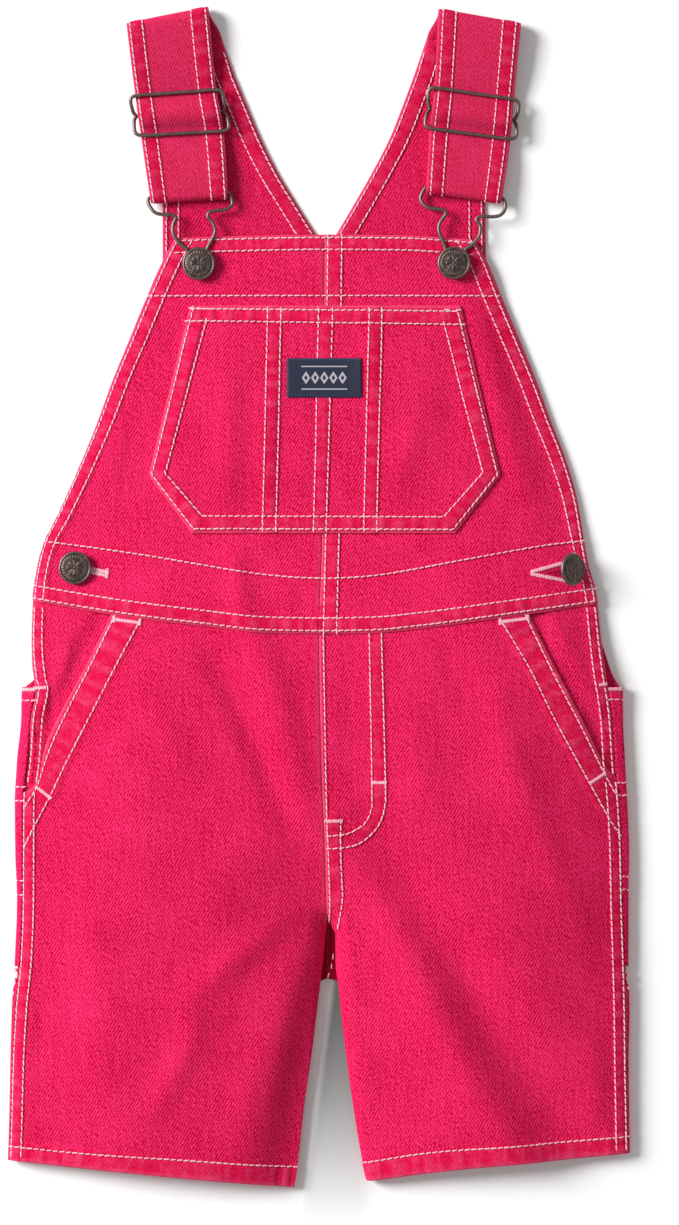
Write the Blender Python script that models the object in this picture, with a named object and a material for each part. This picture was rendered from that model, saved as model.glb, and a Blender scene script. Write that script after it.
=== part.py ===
"""A child's bib shortalls in red-pink denim, laid flat on their back.

Model space: +Z up, the garment lies on z = 0, its front faces up and the straps point to
+Y. Left and right are as seen from above, so left is at -X and is the wearer's right side.
Tables and sizes are in millimetres, and MM turns them into metres where a mesh is made.
"""
import math

import bmesh
import bpy
import numpy as np
from mathutils import Matrix, Vector

MM = 0.001

# Cloth and the clearances between its layers
CLOTH = 1.2
SEAM_GAP = 0.3
SIDE_SEAM_GAP = 0.5
BIB_LIFT = 1.7
UNDER_LAYER = 1.9
POCKET_LIFT = 1.8
LABEL_LIFT = 1.0
LABEL_THICKNESS = 0.6
TOOL_POCKET_LIFT = 1.5

# Seams that run across the garment
WAIST_LAP = 6.5
BACK_WAIST_Y = -12.0
CENTRE_BACK_X = 4.3
CROTCH = (4.2, -150.0)
BACK_CROTCH_Y = -177.0

# Reach of the rounded folds and of the crown, inward from the outline
FOLD_REACH = 7.5
UNDER_FOLD_REACH = 6.0
CROWN_REACH = 62.0
CROTCH_CROWN_REACH = 55.0

# Hardware
BUTTON_RADIUS = 7.6
BUTTON_THICKNESS = 2.4
SHANK_RADIUS = 2.2
WIRE_RADIUS = 0.8
WIRE_BESIDE_STRAP = 1.3
SLIDE_BULGE = 2.1
BIB_BUTTON_STAND = 2 * WIRE_RADIUS + 0.6
STRAP_THICKNESS = 1.4

# Outline of the front. Columns: y, left edge, left seam, right seam, right edge
FRONT_SIDES = (
    (167.0, -65.4, -65.4, 70.6, 70.6),
    (156.0, -71.5, -71.5, 77.2, 77.2),
    (137.0, -80.3, -80.3, 85.3, 85.3),
    (118.0, -88.1, -88.1, 93.2, 93.2),
    (100.0, -95.5, -95.5, 100.5, 100.5),
    (81.0, -102.4, -102.4, 107.4, 107.4),
    (63.0, -109.7, -109.7, 114.3, 114.3),
    (45.0, -117.5, -117.5, 119.4, 119.4),
    (35.0, -122.1, -122.1, 121.2, 121.2),
    (26.0, -126.7, -126.7, 122.6, 122.6),
    (15.0, -129.8, -129.8, 124.6, 124.6),
    (4.0, -131.6, -131.6, 127.7, 127.7),
    (-3.0, -132.2, -132.2, 128.8, 128.8),
    (-20.0, -132.7, -132.7, 130.6, 130.6),
    (-38.0, -131.2, -131.2, 132.9, 132.9),
    (-41.5, -136.8, -130.2, 133.6, 140.3),
    (-56.0, -137.1, -132.7, 135.6, 140.4),
    (-75.0, -139.0, -134.1, 136.8, 141.3),
    (-95.0, -140.0, -136.3, 138.6, 142.3),
    (-118.0, -139.8, -136.4, 139.8, 143.2),
    (-140.0, -139.0, -136.5, 140.2, 142.9),
    (-165.0, -139.9, -137.4, 141.0, 142.9),
    (-190.0, -141.4, -139.8, 141.7, 143.4),
    (-215.0, -142.1, -141.2, 142.0, 143.0),
    (-240.0, -142.6, -141.9, 142.5, 143.3),
    (-275.0, -143.9, -143.1, 143.1, 143.9),
)

# Inner edges of the legs. Columns: y, left leg, right leg, lowest point of the edge
LEG_GAP = (
    (-150.0, 4.2, 4.2, 1.8),
    (-156.0, 3.3, 7.6, 1.8),
    (-168.0, 2.2, 7.7, 1.8),
    (-180.0, 0.6, 9.1, 2.0),
    (-192.0, -0.9, 10.4, 3.1),
    (-213.0, -3.5, 12.9, 3.6),
    (-231.0, -6.2, 15.4, 3.5),
    (-259.0, -9.4, 20.0, 3.2),
    (-275.0, -11.7, 23.7, 3.1),
)

# Sides of the body without the side openings, which its crown is measured from.
# Columns: y, left, right
BODY_SIDES = (
    (167.0, -65.4, 70.6), (45.0, -117.5, 119.4), (0.0, -132.0, 129.0), (-56.0, -137.1, 140.4),
    (-140.0, -140.0, 143.0), (-275.0, -143.9, 143.9),
)

# How high the front stands. Columns: y, height at the outline, height inside the fold, crown
HEIGHTS = (
    (167.0, 2.0, 2.6, 0.8),
    (150.0, 1.8, 2.5, 1.3),
    (138.0, 0.6, 2.4, 1.7),
    (100.0, 0.4, 2.3, 2.2),
    (45.0, 0.5, 2.6, 2.4),
    (15.0, 1.8, 4.3, 3.4),
    (0.0, 3.0, 5.6, 4.6),
    (-20.0, 4.2, 7.0, 5.6),
    (-38.0, 6.8, 8.0, 6.0),
    (-42.0, 4.4, 8.1, 6.1),
    (-70.0, 4.3, 8.7, 6.5),
    (-110.0, 4.2, 8.8, 6.6),
    (-180.0, 4.0, 8.2, 6.4),
    (-240.0, 3.6, 7.2, 5.6),
    (-275.0, 3.2, 6.4, 4.8),
)

# Largest soft folds of the front. Columns: start x, y, end x, y, half width, height
FOLDS = (
    (-34.0, -26.0, -14.0, -112.0, 8.0, 1.1),
    (-74.0, -40.0, -62.0, -96.0, 9.0, 0.8),
    (-4.0, -128.0, -56.0, -186.0, 9.0, 1.2),
    (-104.0, -150.0, -92.0, -232.0, 10.0, 0.8),
    (40.0, -70.0, 72.0, -122.0, 9.0, 0.9),
    (14.0, -158.0, 58.0, -208.0, 9.0, 1.2),
    (96.0, -120.0, 104.0, -214.0, 10.0, 0.8),
    (-60.0, 16.0, -22.0, 24.0, 6.0, 0.5),
)

# Centre front seam from the bib top to the crotch. Columns: y, x
CENTRE_FRONT = (
    (167.0, 2.8), (26.0, 1.6), (-17.0, 0.3), (-84.0, 1.6), (-116.0, 2.9), (-139.0, 3.5),
    (-150.0, 4.2),
)
# Top edge of the bib and its lower edge over the waist seam. Columns: x, y
BIB_TOP = ((-66.0, 165.6), (-31.5, 166.5), (2.0, 167.0), (37.5, 166.8), (71.1, 164.7))
WAIST = (
    (-132.4, -1.8), (-93.6, -8.3), (-54.5, -13.3), (-22.3, -16.6), (1.6, -17.0), (24.6, -16.6),
    (47.1, -14.5), (80.3, -10.1), (129.0, -3.2),
)
# Hems of the legs. Columns: x, y
HEM_LEFT = ((-143.8, -259.4), (-69.2, -266.6), (-11.3, -272.1))
HEM_RIGHT = ((22.5, -269.1), (66.5, -263.1), (107.9, -259.4), (143.5, -256.4))

# Slanted openings of the front pockets, top to bottom. Columns: y, x
SLANT_LEFT = (
    (6.0, -89.0), (-9.7, -96.2), (-29.0, -105.7), (-52.9, -118.5), (-67.6, -125.4),
    (-86.0, -130.0), (-90.0, -135.9),
)
SLANT_RIGHT = (
    (6.0, 90.0), (-8.0, 97.1), (-35.0, 110.3), (-56.1, 121.4), (-77.6, 132.2), (-83.0, 137.5),
)
SLANT_LAP = 8.0
# The side panel's top edge: where it starts at the side, and how wide it is
SIDE_X = 132.0
SIDE_PANEL_WIDTH = 40.0

# Bib pocket. Columns: y, left edge, right edge
BIB_POCKET = (
    (134.2, -59.0, 65.6), (115.0, -63.7, 70.1), (95.0, -68.6, 74.8), (75.0, -73.6, 79.5),
    (56.0, -78.2, 84.0), (42.0, -67.6, 72.9), (29.2, -58.3, 62.9),
)
LABEL_BOX = (-14.6, 19.9, 91.8, 109.8)

# Back above the waist. Columns: y, left outer edge, left inner, right inner, right outer
BODICE = (
    (240.0, -83.2, -38.6, 43.8, 88.6),
    (228.0, -79.7, -33.5, 39.3, 85.0),
    (212.0, -76.1, -26.8, 33.0, 81.6),
    (195.0, -73.4, -18.3, 24.2, 78.6),
    (182.0, -72.0, -10.4, 16.8, 77.0),
    (168.0, -72.0, -1.7, 8.5, 77.1),
    (160.0, -72.0, 3.4, 3.7, 77.2),
    (120.0, -72.5, 3.4, 3.7, 77.5),
    (100.0, -79.0, 3.6, 3.9, 84.0),
    (60.0, -95.0, 3.8, 4.1, 99.0),
    (25.0, -114.0, 4.0, 4.3, 112.0),
    (12.0, -122.0, 4.1, 4.4, 117.0),
    (-11.7, -126.5, 4.15, 4.45, 123.5),
)

# Tool pockets on the back of the legs
TOOL_POCKET_TOP = -41.5
TOOL_POCKET_BOTTOM = -170.0
TOOL_POCKET_INNER = 95.0
TOOL_POCKET_STEP = 6.0

# Shoulder straps, measured from the shoulder fold. Columns: along, left x, y, right x, y
STRAP_LEFT = (
    (0.0, -88.5, 264.7, -50.8, 272.3),
    (35.3, -84.4, 230.9, -46.9, 233.6),
    (54.9, -81.8, 212.5, -43.6, 214.6),
    (86.0, -77.2, 181.2, -41.6, 183.5),
)
STRAP_RIGHT = (
    (0.0, 55.3, 271.3, 93.3, 264.7),
    (35.3, 53.4, 234.6, 90.0, 229.2),
    (54.9, 51.4, 215.8, 88.4, 210.9),
    (86.0, 49.6, 186.0, 84.2, 181.2),
)
SLIDE_TOP_BAR = 35.3
SLIDE_MIDDLE_BAR = 45.2
SLIDE_LOWER_BAR = 54.9
SLIDE_BAR_Z = 5.8
SLIDE_MIDDLE_Z = 4.0
CLASP_BAR = 83.4
CLASP_BAR_Z = 4.0
STRAP_LOOP_RADIUS = 1.8
SHOULDER_FOLD_RADIUS = 3.05
STRAP_SEAM = 14.0
# How much wider than its webbing a strap is at the bodice seam and one step on
SHOULDER_WIDENING = (4.6, 2.6)

# Clasp wires from the bar to the button, seen from above. Columns: x, y from the button
CLASP_LEFT = (
    (-22.9, 30.6), (-23.3, 28.0), (-20.6, 24.0), (-16.9, 22.8), (-12.8, 22.8), (-10.6, 21.4),
    (-11.6, 19.1), (-12.0, 15.0), (-9.8, 10.4), (-5.6, 6.4), (-4.4, 1.6), (-3.2, -3.4),
    (0.0, -4.8), (3.4, -3.4), (4.6, 1.2), (3.6, 6.4), (6.0, 11.3), (7.5, 15.5), (6.0, 19.6),
    (4.0, 21.9), (5.1, 24.0), (8.4, 24.7), (12.2, 25.1), (15.4, 27.6), (15.0, 30.9),
)
CLASP_RIGHT = (
    (-14.0, 33.0), (-15.3, 30.0), (-13.0, 26.4), (-9.7, 25.3), (-5.1, 24.7), (-3.7, 22.9),
    (-6.4, 18.6), (-6.9, 15.1), (-5.4, 10.9), (-3.9, 6.5), (-4.6, 1.4), (-3.4, -3.4),
    (0.0, -4.8), (3.2, -3.4), (4.6, 1.6), (5.1, 6.0), (8.6, 8.8), (11.8, 13.0), (12.1, 17.3),
    (10.4, 20.1), (12.1, 21.6), (18.5, 21.5), (22.0, 22.6), (23.8, 25.9), (23.2, 29.0),
)
BIB_BUTTONS = {"left": (-55.1, 153.4), "right": (62.3, 153.7)}
# Side buttons. Columns: x, y, outward tilt in degrees, clear height under the head
SIDE_BUTTONS = {"left": (-111.9, 13.4, 0.0, 1.8), "right": (113.2, 12.9, 34.0, 3.6)}

DENIM = ((0.75, 0.012, 0.075, 1.0), 0.85, 0.0)
LABEL_CLOTH = ((0.02, 0.03, 0.08, 1.0), 0.7, 0.0)
DARK_METAL = ((0.11, 0.08, 0.065, 1.0), 0.42, 0.9)


def clear_scene():
    for thing in list(bpy.data.objects):
        bpy.data.objects.remove(thing)


def material(name, finish):
    colour, roughness, metallic = finish
    made = bpy.data.materials.get(name) or bpy.data.materials.new(name)
    made.use_nodes = True
    shader = made.node_tree.nodes["Principled BSDF"]
    shader.inputs["Base Color"].default_value = colour
    shader.inputs["Roughness"].default_value = roughness
    shader.inputs["Metallic"].default_value = metallic
    return made


def read(table, column, at):
    """One column of a table, between its rows, where the first column is `at`."""
    rows = sorted(table)
    return float(np.interp(at, [row[0] for row in rows], [row[column] for row in rows]))


def ease(share):
    share = min(max(share, 0.0), 1.0)
    return share * share * (3 - 2 * share)


def rounded(distance, reach):
    """Quarter round: 0 at the edge, 1 from `reach` inward."""
    share = 1 - min(max(distance / reach, 0.0), 1.0)
    return math.sqrt(1 - share * share)


def swelling(distance, reach):
    """Soft rise: 0 at the edge, 1 from `reach` inward, level at both ends."""
    share = min(max(distance / reach, 0.0), 1.0)
    return math.sin(share * math.pi / 2) ** 2


def fold_relief(x, y):
    relief = 0.0
    for x0, y0, x1, y1, half_width, height in FOLDS:
        run_x, run_y = x1 - x0, y1 - y0
        length_squared = run_x * run_x + run_y * run_y
        along = ((x - x0) * run_x + (y - y0) * run_y) / length_squared
        nearest = min(max(along, 0.0), 1.0)
        across = math.hypot(x - x0 - nearest * run_x, y - y0 - nearest * run_y)
        taper = math.sin(math.pi * (0.15 + 0.7 * nearest))
        relief += height * taper * math.exp(-(across / half_width) ** 2)
    return relief


def leg_gap_distance(x, y):
    """How far a point of the front is from the gap between the legs, and that edge's height."""
    if y > CROTCH[1]:
        return math.hypot(x - CROTCH[0], y - CROTCH[1]), LEG_GAP[0][3]
    if x < CROTCH[0] + 1.5:
        return read(LEG_GAP, 1, y) - x, read(LEG_GAP, 3, y)
    return x - read(LEG_GAP, 2, y), read(LEG_GAP, 3, y)


def top_height(x, y):
    """Height of the outer face of the trouser front, and of what the bib lies on."""
    rim, shoulder, crown = (read(HEIGHTS, column, y) for column in (1, 2, 3))
    left = x - read(FRONT_SIDES, 1, y)
    right = read(FRONT_SIDES, 4, y) - x
    gap, gap_rim = leg_gap_distance(x, y)
    side_height = rim + (shoulder - rim) * rounded(min(left, right), FOLD_REACH)
    gap_height = gap_rim + (shoulder - gap_rim) * rounded(gap, FOLD_REACH)
    body = swelling(x - read(BODY_SIDES, 1, y), CROWN_REACH)
    body *= swelling(read(BODY_SIDES, 2, y) - x, CROWN_REACH)
    body *= swelling(gap, CROTCH_CROWN_REACH)
    softened = swelling(min(left, right, gap), 3 * FOLD_REACH)
    return min(side_height, gap_height) + crown * body + softened * fold_relief(x, y)


def bib_height(x, y):
    """Height of the outer face of the bib, which laps over the front and the side panels."""
    return top_height(x, y) + BIB_LIFT


def face_normals(points):
    """Unit normals of a grid whose rows run down the garment and columns to its left."""
    across = np.gradient(points, axis=1)
    down = np.gradient(points, axis=0)
    normals = np.cross(down, across)
    return normals / np.linalg.norm(normals, axis=2, keepdims=True)


def add_object(name, mesh, finish):
    mesh.materials.append(material(*finish))
    mesh.shade_smooth()
    mesh.set_sharp_from_angle(angle=math.radians(35))
    made = bpy.data.objects.new(name, mesh)
    bpy.context.collection.objects.link(made)
    return made


def wall(name, points, normals, finish, thickness=CLOTH):
    """A closed cloth wall: the grid is its outer face, its inner face lies under it."""
    rows, columns, _ = points.shape
    inner = points - normals * thickness
    bm = bmesh.new()
    outer_verts, inner_verts = (
        [[bm.verts.new(Vector(point) * MM) for point in row] for row in grid]
        for grid in (points, inner))
    for row in range(rows - 1):
        for column in range(columns - 1):
            for verts in (outer_verts, inner_verts):
                bm.faces.new((verts[row][column], verts[row][column + 1],
                              verts[row + 1][column + 1], verts[row + 1][column]))
    rim = [(0, column) for column in range(columns)]
    rim += [(row, columns - 1) for row in range(1, rows)]
    rim += [(rows - 1, column) for column in range(columns - 2, -1, -1)]
    rim += [(row, 0) for row in range(rows - 2, 0, -1)]
    for (row, column), (next_row, next_column) in zip(rim, rim[1:] + rim[:1]):
        bm.faces.new((outer_verts[row][column], outer_verts[next_row][next_column],
                      inner_verts[next_row][next_column], inner_verts[row][column]))
    bmesh.ops.recalc_face_normals(bm, faces=bm.faces)
    mesh = bpy.data.meshes.new(name)
    bm.to_mesh(mesh)
    bm.free()
    return add_object(name, mesh, finish)


def spread(start, end, start_offsets, end_offsets, between):
    """Places from start to end: set distances near each end, even ones between."""
    way = 1 if end > start else -1
    span = abs(end - start)
    scale = min(1.0, 0.45 * span / max(start_offsets[-1], end_offsets[0]))
    near = [offset * scale for offset in start_offsets]
    far = [span - offset * scale for offset in end_offsets]
    middle = np.linspace(near[-1], far[0], between + 2)[1:-1]
    return [start + way * offset for offset in near + list(middle) + far]


EDGE_OFFSETS = (0.0, 1.1, 4.0, 8.5)
LEG_ROWS = (
    0.0, 0.05, 0.12, 0.2, 0.28, 0.36, 0.43, 0.48, 0.505, 0.52, 0.535, 0.56, 0.6, 0.66, 0.73,
    0.8, 0.87, 0.94, 1.0,
)


def front_leg(name, side, denim):
    """Front of one leg, from under the bib to the hem, cut away at the slanted pocket."""
    left = side < 0
    slant = SLANT_LEFT if left else SLANT_RIGHT
    hem = HEM_LEFT if left else HEM_RIGHT
    seam_column, edge_column = (2, 1) if left else (3, 4)
    gap_column = 1 if left else 2
    columns = 14

    def boundaries(y):
        outer = read(slant, 1, y) if y > slant[-1][0] else read(FRONT_SIDES, seam_column, y)
        if y > CROTCH[1]:
            inner = read(CENTRE_FRONT, 1, y) + side * SEAM_GAP / 2
        else:
            inner = read(LEG_GAP, gap_column, y)
        return outer, inner

    top_places = np.linspace(*boundaries(-4.0), columns)
    hem_places = np.linspace(*boundaries(-265.0), columns)
    grid = []
    for share in LEG_ROWS:
        row = []
        for column in range(columns):
            top = read(WAIST, 1, top_places[column]) + WAIST_LAP
            y = top + (read(hem, 1, hem_places[column]) - top) * share
            outer, inner = boundaries(y)
            x = spread(outer, inner, EDGE_OFFSETS, EDGE_OFFSETS[::-1], columns - 8)[column]
            row.append((x, y, top_height(x, y)))
        # A further place on the same surface beyond each edge sets the slope of the rim
        x, y, _ = row[0]
        beyond = 0.5 * min(1.0, abs(read(FRONT_SIDES, edge_column, y) - x))
        before = (x + side * beyond, y, top_height(x + side * beyond, y))
        x, y, z = row[-1]
        if y > CROTCH[1]:
            after = (x - side, y, top_height(x - side, y))
        else:
            after = (row[-2][0], y, 2 * z - row[-2][2])
        grid.append([before] + row + [after])
    points = np.array(grid)
    points = points if left else points[:, ::-1]
    return wall(name, points[:, 1:-1], face_normals(points)[:, 1:-1], denim)


def side_panel(name, side, denim):
    """Piece behind the slanted pocket opening, from the waist down to the opening's end."""
    left = side < 0
    slant = SLANT_LEFT if left else SLANT_RIGHT
    seam_column = 2 if left else 3
    bottom = slant[-1][0] + 1
    grid, depth = [], []
    for share in np.linspace(0, 1, 11):
        row = []
        for across in (-0.02, 0.0, 0.08, 0.25, 0.4, 0.55, 0.75, 1.0):
            y_top = read(WAIST, 1, side * (SIDE_X - SIDE_PANEL_WIDTH * across)) + WAIST_LAP
            y = y_top + (bottom - y_top) * share
            outer = read(FRONT_SIDES, seam_column, y) - side * SIDE_SEAM_GAP
            fold = read(slant, 1, max(y, slant[-2][0]))
            x = outer + (fold - side * SLANT_LAP - outer) * across
            row.append((x, y, top_height(x, y)))
        depth.append([UNDER_LAYER + (SIDE_SEAM_GAP - UNDER_LAYER)
                      * ease((side * (x - read(slant, 1, y)) - 4) / 8) for x, y, _ in row])
        grid.append(row)
    points, depth = np.array(grid), np.array(depth)
    if not left:
        points, depth = points[:, ::-1], depth[:, ::-1]
    normals = face_normals(points)
    lowered = points - normals * depth[..., None]
    kept = slice(1, None) if left else slice(None, -1)
    return wall(name, lowered[:, kept], normals[:, kept], denim)


def bib_half(name, side, denim):
    left = side < 0
    edge_column = 1 if left else 4
    columns = 11
    end = 0 if left else -1
    top_places = np.linspace(BIB_TOP[end][0], CENTRE_FRONT[0][1], columns)
    low_places = np.linspace(WAIST[end][0], CENTRE_FRONT[2][1], columns)
    grid = []
    for share in (0, 0.04, 0.09, 0.16, 0.26, 0.38, 0.5, 0.62, 0.73, 0.82, 0.88, 0.93, 0.965, 1.0):
        row = []
        for column in range(columns):
            y_top = read(BIB_TOP, 1, top_places[column])
            y = y_top + (read(WAIST, 1, low_places[column]) - y_top) * share
            outer = read(FRONT_SIDES, edge_column, y)
            inner = read(CENTRE_FRONT, 1, y) + side * SEAM_GAP / 2
            x = spread(outer, inner, EDGE_OFFSETS, (0.0,), columns - 5)[column]
            row.append((x, y, bib_height(x, y)))
        grid.append(row)
    points = np.array(grid)
    points = points if left else points[:, ::-1]
    return wall(name, points, face_normals(points), denim)


def bib_pocket(denim):
    grid = []
    for y, left, right in BIB_POCKET:
        grid.append([(x, y, bib_height(x, y)) for x in np.linspace(left, right, 11)])
    points = np.array(grid)
    normals = face_normals(points)
    return wall("bib_pocket", points + normals * POCKET_LIFT, normals, denim)


def label(finish):
    left, right, low, high = LABEL_BOX
    grid = []
    for y in np.linspace(high, low, 3):
        grid.append([(x, y, bib_height(x, y)) for x in np.linspace(left, right, 5)])
    points = np.array(grid)
    normals = face_normals(points)
    lifted = points + normals * (POCKET_LIFT + LABEL_LIFT)
    return wall("label", lifted, normals, finish, LABEL_THICKNESS)


def under_path(side, y, climb):
    """Outer face of the back of one leg across its width at y, and its normals.

    It starts at the side seam on top, runs round the fold and along the floor to the inner
    edge. `climb` is how much of the way up from the floor to the seam it reaches."""
    left = side < 0
    edge = abs(read(FRONT_SIDES, 1 if left else 4, y))
    seam = min(abs(read(FRONT_SIDES, 2 if left else 3, y)) + SIDE_SEAM_GAP, edge - 0.1)
    rim = read(HEIGHTS, 1, y)
    wrap = []
    for x in [seam - 1.2] + list(np.linspace(seam, edge, 9)[:-1]):
        wrap.append((x, top_height(side * x, y)))
    for angle in np.radians(np.linspace(0, 90, 9)):
        reach = UNDER_FOLD_REACH * (1 - math.cos(angle))
        wrap.append((edge - reach, rim * (1 - math.sin(angle))))
    wrap = np.array(wrap)
    travelled = np.concatenate(((0.0,), np.cumsum(np.hypot(*np.diff(wrap, axis=0).T))))
    start = travelled[-1] + (travelled[1] - travelled[-1]) * climb
    places = [start - travelled[1]] + list(np.linspace(start, travelled[-1], 7))
    path = list(zip(np.interp(places, travelled, wrap[:, 0]),
                    np.interp(places, travelled, wrap[:, 1])))
    if climb == 0:
        tucked = abs(read(BODICE, 1 if left else 4, BACK_WAIST_Y)) + 1.5
        path = [(x, 0.0) for x in np.linspace(tucked, tucked - 8, 8)]
    path += [(step, 0.0) for step in (TOOL_POCKET_INNER, 94.0, 88.0)]
    if y > BACK_CROTCH_Y:
        inner = side * (CENTRE_BACK_X + side * SEAM_GAP / 2)
        curl = 0.0
    else:
        inner = side * read(LEG_GAP, 1 if left else 2, y)
        curl = (read(LEG_GAP, 3, y) - SEAM_GAP) * ease((BACK_CROTCH_Y - y) / 9)
    reach = min(UNDER_FOLD_REACH, 2 * curl) + 0.5
    for angle in np.radians((90, 60, 25, 0)):
        path.append((inner + reach * (1 - math.cos(angle)), curl * (1 - math.sin(angle))))
    if curl > 0:
        path.append((path[-2][0], 2 * curl - path[-2][1]))
    else:
        path.append((inner - 1, 0.0))
    path = np.array(path)
    tangents = np.gradient(path, axis=0)
    tangents /= np.linalg.norm(tangents, axis=1, keepdims=True)
    normals = np.stack((-tangents[:, 1] * side, tangents[:, 0]), axis=1)
    path[:, 0] *= side
    return path[1:-1], normals[1:-1]


def pocket_cover(x, y):
    """1 where a tool pocket lies under the back, 0 a short step away from it."""
    beyond_top = ease((y - TOOL_POCKET_TOP - 4) / TOOL_POCKET_STEP)
    beyond_bottom = ease((TOOL_POCKET_BOTTOM - 5 - y) / TOOL_POCKET_STEP)
    beside = ease((TOOL_POCKET_INNER - 1 - abs(x)) / TOOL_POCKET_STEP)
    return (1 - beyond_top) * (1 - beyond_bottom) * (1 - beside)


BACK_ROWS = (
    BACK_WAIST_Y, -24.0, -31.5, -37.5, -39.5, -42.0, -45.0, -60.0, -78.0, -98.0, -120.0, -142.0,
    -160.0, -175.0, -176.8, -178.0, -181.0, -187.0, -196.0,
)
BACK_HEM_SHARES = (0.2, 0.45, 0.72, 1.0)


def back_leg(name, side, denim):
    """Back of one leg: it wraps round the outer fold up to the side seam."""
    left = side < 0
    hem = HEM_LEFT if left else HEM_RIGHT
    hem_places = under_path(side, -262.0, 1.0)[0][:, 0]
    last = BACK_ROWS[-1]
    rows = [[y] * len(hem_places) for y in BACK_ROWS]
    for share in BACK_HEM_SHARES:
        rows.append([last + (read(hem, 1, place) - last) * share for place in hem_places])
    points, normals = [], []
    for row in rows:
        for column, y in enumerate(row):
            path, slopes = under_path(side, y, ease((-38.0 - y) / 7))
            points.append((path[column][0], y, path[column][1]))
            normals.append((slopes[column][0], 0.0, slopes[column][1]))
    shape = (len(rows), len(hem_places), 3)
    points, normals = np.reshape(points, shape), np.reshape(normals, shape)
    cover = np.array([[pocket_cover(x, y) for x, y, _ in row] for row in points])
    raised = points - normals * TOOL_POCKET_LIFT * cover[..., None]
    return wall(name, raised, normals, denim)


def tool_pocket(name, side, denim):
    """Patch on the back of a leg that shows beside the side seam."""
    columns = 8
    points, normals = [], []
    for y in np.linspace(TOOL_POCKET_TOP, TOOL_POCKET_BOTTOM, 12):
        path, slopes = under_path(side, y, 1.0)
        points.append([(x, y, z) for x, z in path[:columns]])
        normals.append([(x, 0.0, z) for x, z in slopes[:columns]])
    return wall(name, np.array(points), np.array(normals), denim)


def bodice_half(name, side, table, denim):
    left = side < 0
    outer, inner = (1, 2) if left else (4, 3)
    across = (0.0, 1.0) if left else (1.0, 0.0)
    top_outer = Vector(strap_point(table, STRAP_SEAM, across[0], CLOTH))
    top_inner = Vector(strap_point(table, STRAP_SEAM, across[1], CLOTH))
    top_inner += (top_inner - top_outer).normalized() * SHOULDER_WIDENING[0]
    grid = [[tuple(top_outer.lerp(top_inner, share)) for share in np.linspace(0, 1, 4)]]
    for row in BODICE:
        grid.append([(x, row[0], CLOTH) for x in np.linspace(row[outer], row[inner], 4)])
    points = np.array(grid)
    return wall(name, points, np.broadcast_to((0.0, 0.0, 1.0), points.shape), denim)


def strap_point(table, along, across, z):
    """A point of a strap from its place along it and across it, 0 left and 1 right."""
    left = Vector((read(table, 1, along), read(table, 2, along)))
    right = Vector((read(table, 3, along), read(table, 4, along)))
    if along < 0:
        left, right = Vector(table[0][1:3]), Vector(table[0][3:5])
    spot = left.lerp(right, across)
    return (spot.x, spot.y, z)


def arc(centre, radius, start, end, count):
    return [(centre[0] + radius * math.cos(math.radians(angle)),
             centre[1] + radius * math.sin(math.radians(angle)))
            for angle in np.linspace(start, end, count)]


def strap_route():
    """Middle line of a strap from the shoulder seam to its end. Columns: along, z."""
    half = STRAP_THICKNESS / 2
    fold = (half + SHOULDER_FOLD_RADIUS, half + SHOULDER_FOLD_RADIUS)
    route = [(STRAP_SEAM - 0.5, half), (8.0, half)]
    route += arc(fold, SHOULDER_FOLD_RADIUS, 270, 90, 8)
    route += [(12.0, 6.6), (22.0, 5.8), (30.0, 4.5), (SLIDE_TOP_BAR, 3.9), (38.6, 4.7),
              (41.0, 6.3), (42.8, 7.3), (SLIDE_MIDDLE_BAR, 7.7), (47.6, 7.3), (49.6, 6.2),
              (52.0, 4.6), (SLIDE_LOWER_BAR, 3.9), (59.0, 4.2), (67.0, 5.2), (75.0, 5.8)]
    route += arc((CLASP_BAR, CLASP_BAR_Z), STRAP_LOOP_RADIUS, 90, -90, 7)
    route += [(75.0, 2.2), (60.0, 2.2), (50.0, 2.2)]
    route += arc((SLIDE_MIDDLE_BAR, SLIDE_MIDDLE_Z), STRAP_LOOP_RADIUS, 270, 80, 7)
    return np.array(route)


def strap(name, side, table, denim):
    """One flat ribbon: over the shoulder, through the slide, round the clasp and back."""
    route = strap_route()
    tangents = np.gradient(route, axis=0)
    tangents /= np.linalg.norm(tangents, axis=1, keepdims=True)
    normals = np.stack((-tangents[:, 1], tangents[:, 0]), axis=1)
    bm = bmesh.new()
    rings = []
    width = (Vector(table[0][3:5]) - Vector(table[0][1:3])).length
    for step, (middle, normal) in enumerate(zip(route, normals)):
        wider = SHOULDER_WIDENING[step] / width if step < len(SHOULDER_WIDENING) else 0.0
        low, high = (0.0, 1.0 + wider) if side < 0 else (-wider, 1.0)
        ring = []
        for across, way in ((low, 1), (0.5, 1), (high, 1), (high, -1), (0.5, -1), (low, -1)):
            along, z = middle + normal * way * STRAP_THICKNESS / 2
            ring.append(bm.verts.new(Vector(strap_point(table, along, across, z)) * MM))
        rings.append(ring)
    for ring, following in zip(rings, rings[1:]):
        for corner in range(6):
            after = (corner + 1) % 6
            bm.faces.new((ring[corner], ring[after], following[after], following[corner]))
    for ring in (rings[0], rings[-1]):
        bm.faces.new((ring[0], ring[1], ring[4], ring[5]))
        bm.faces.new((ring[1], ring[2], ring[3], ring[4]))
    bmesh.ops.recalc_face_normals(bm, faces=bm.faces)
    mesh = bpy.data.meshes.new(name)
    bm.to_mesh(mesh)
    bm.free()
    return add_object(name, mesh, denim)


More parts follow.
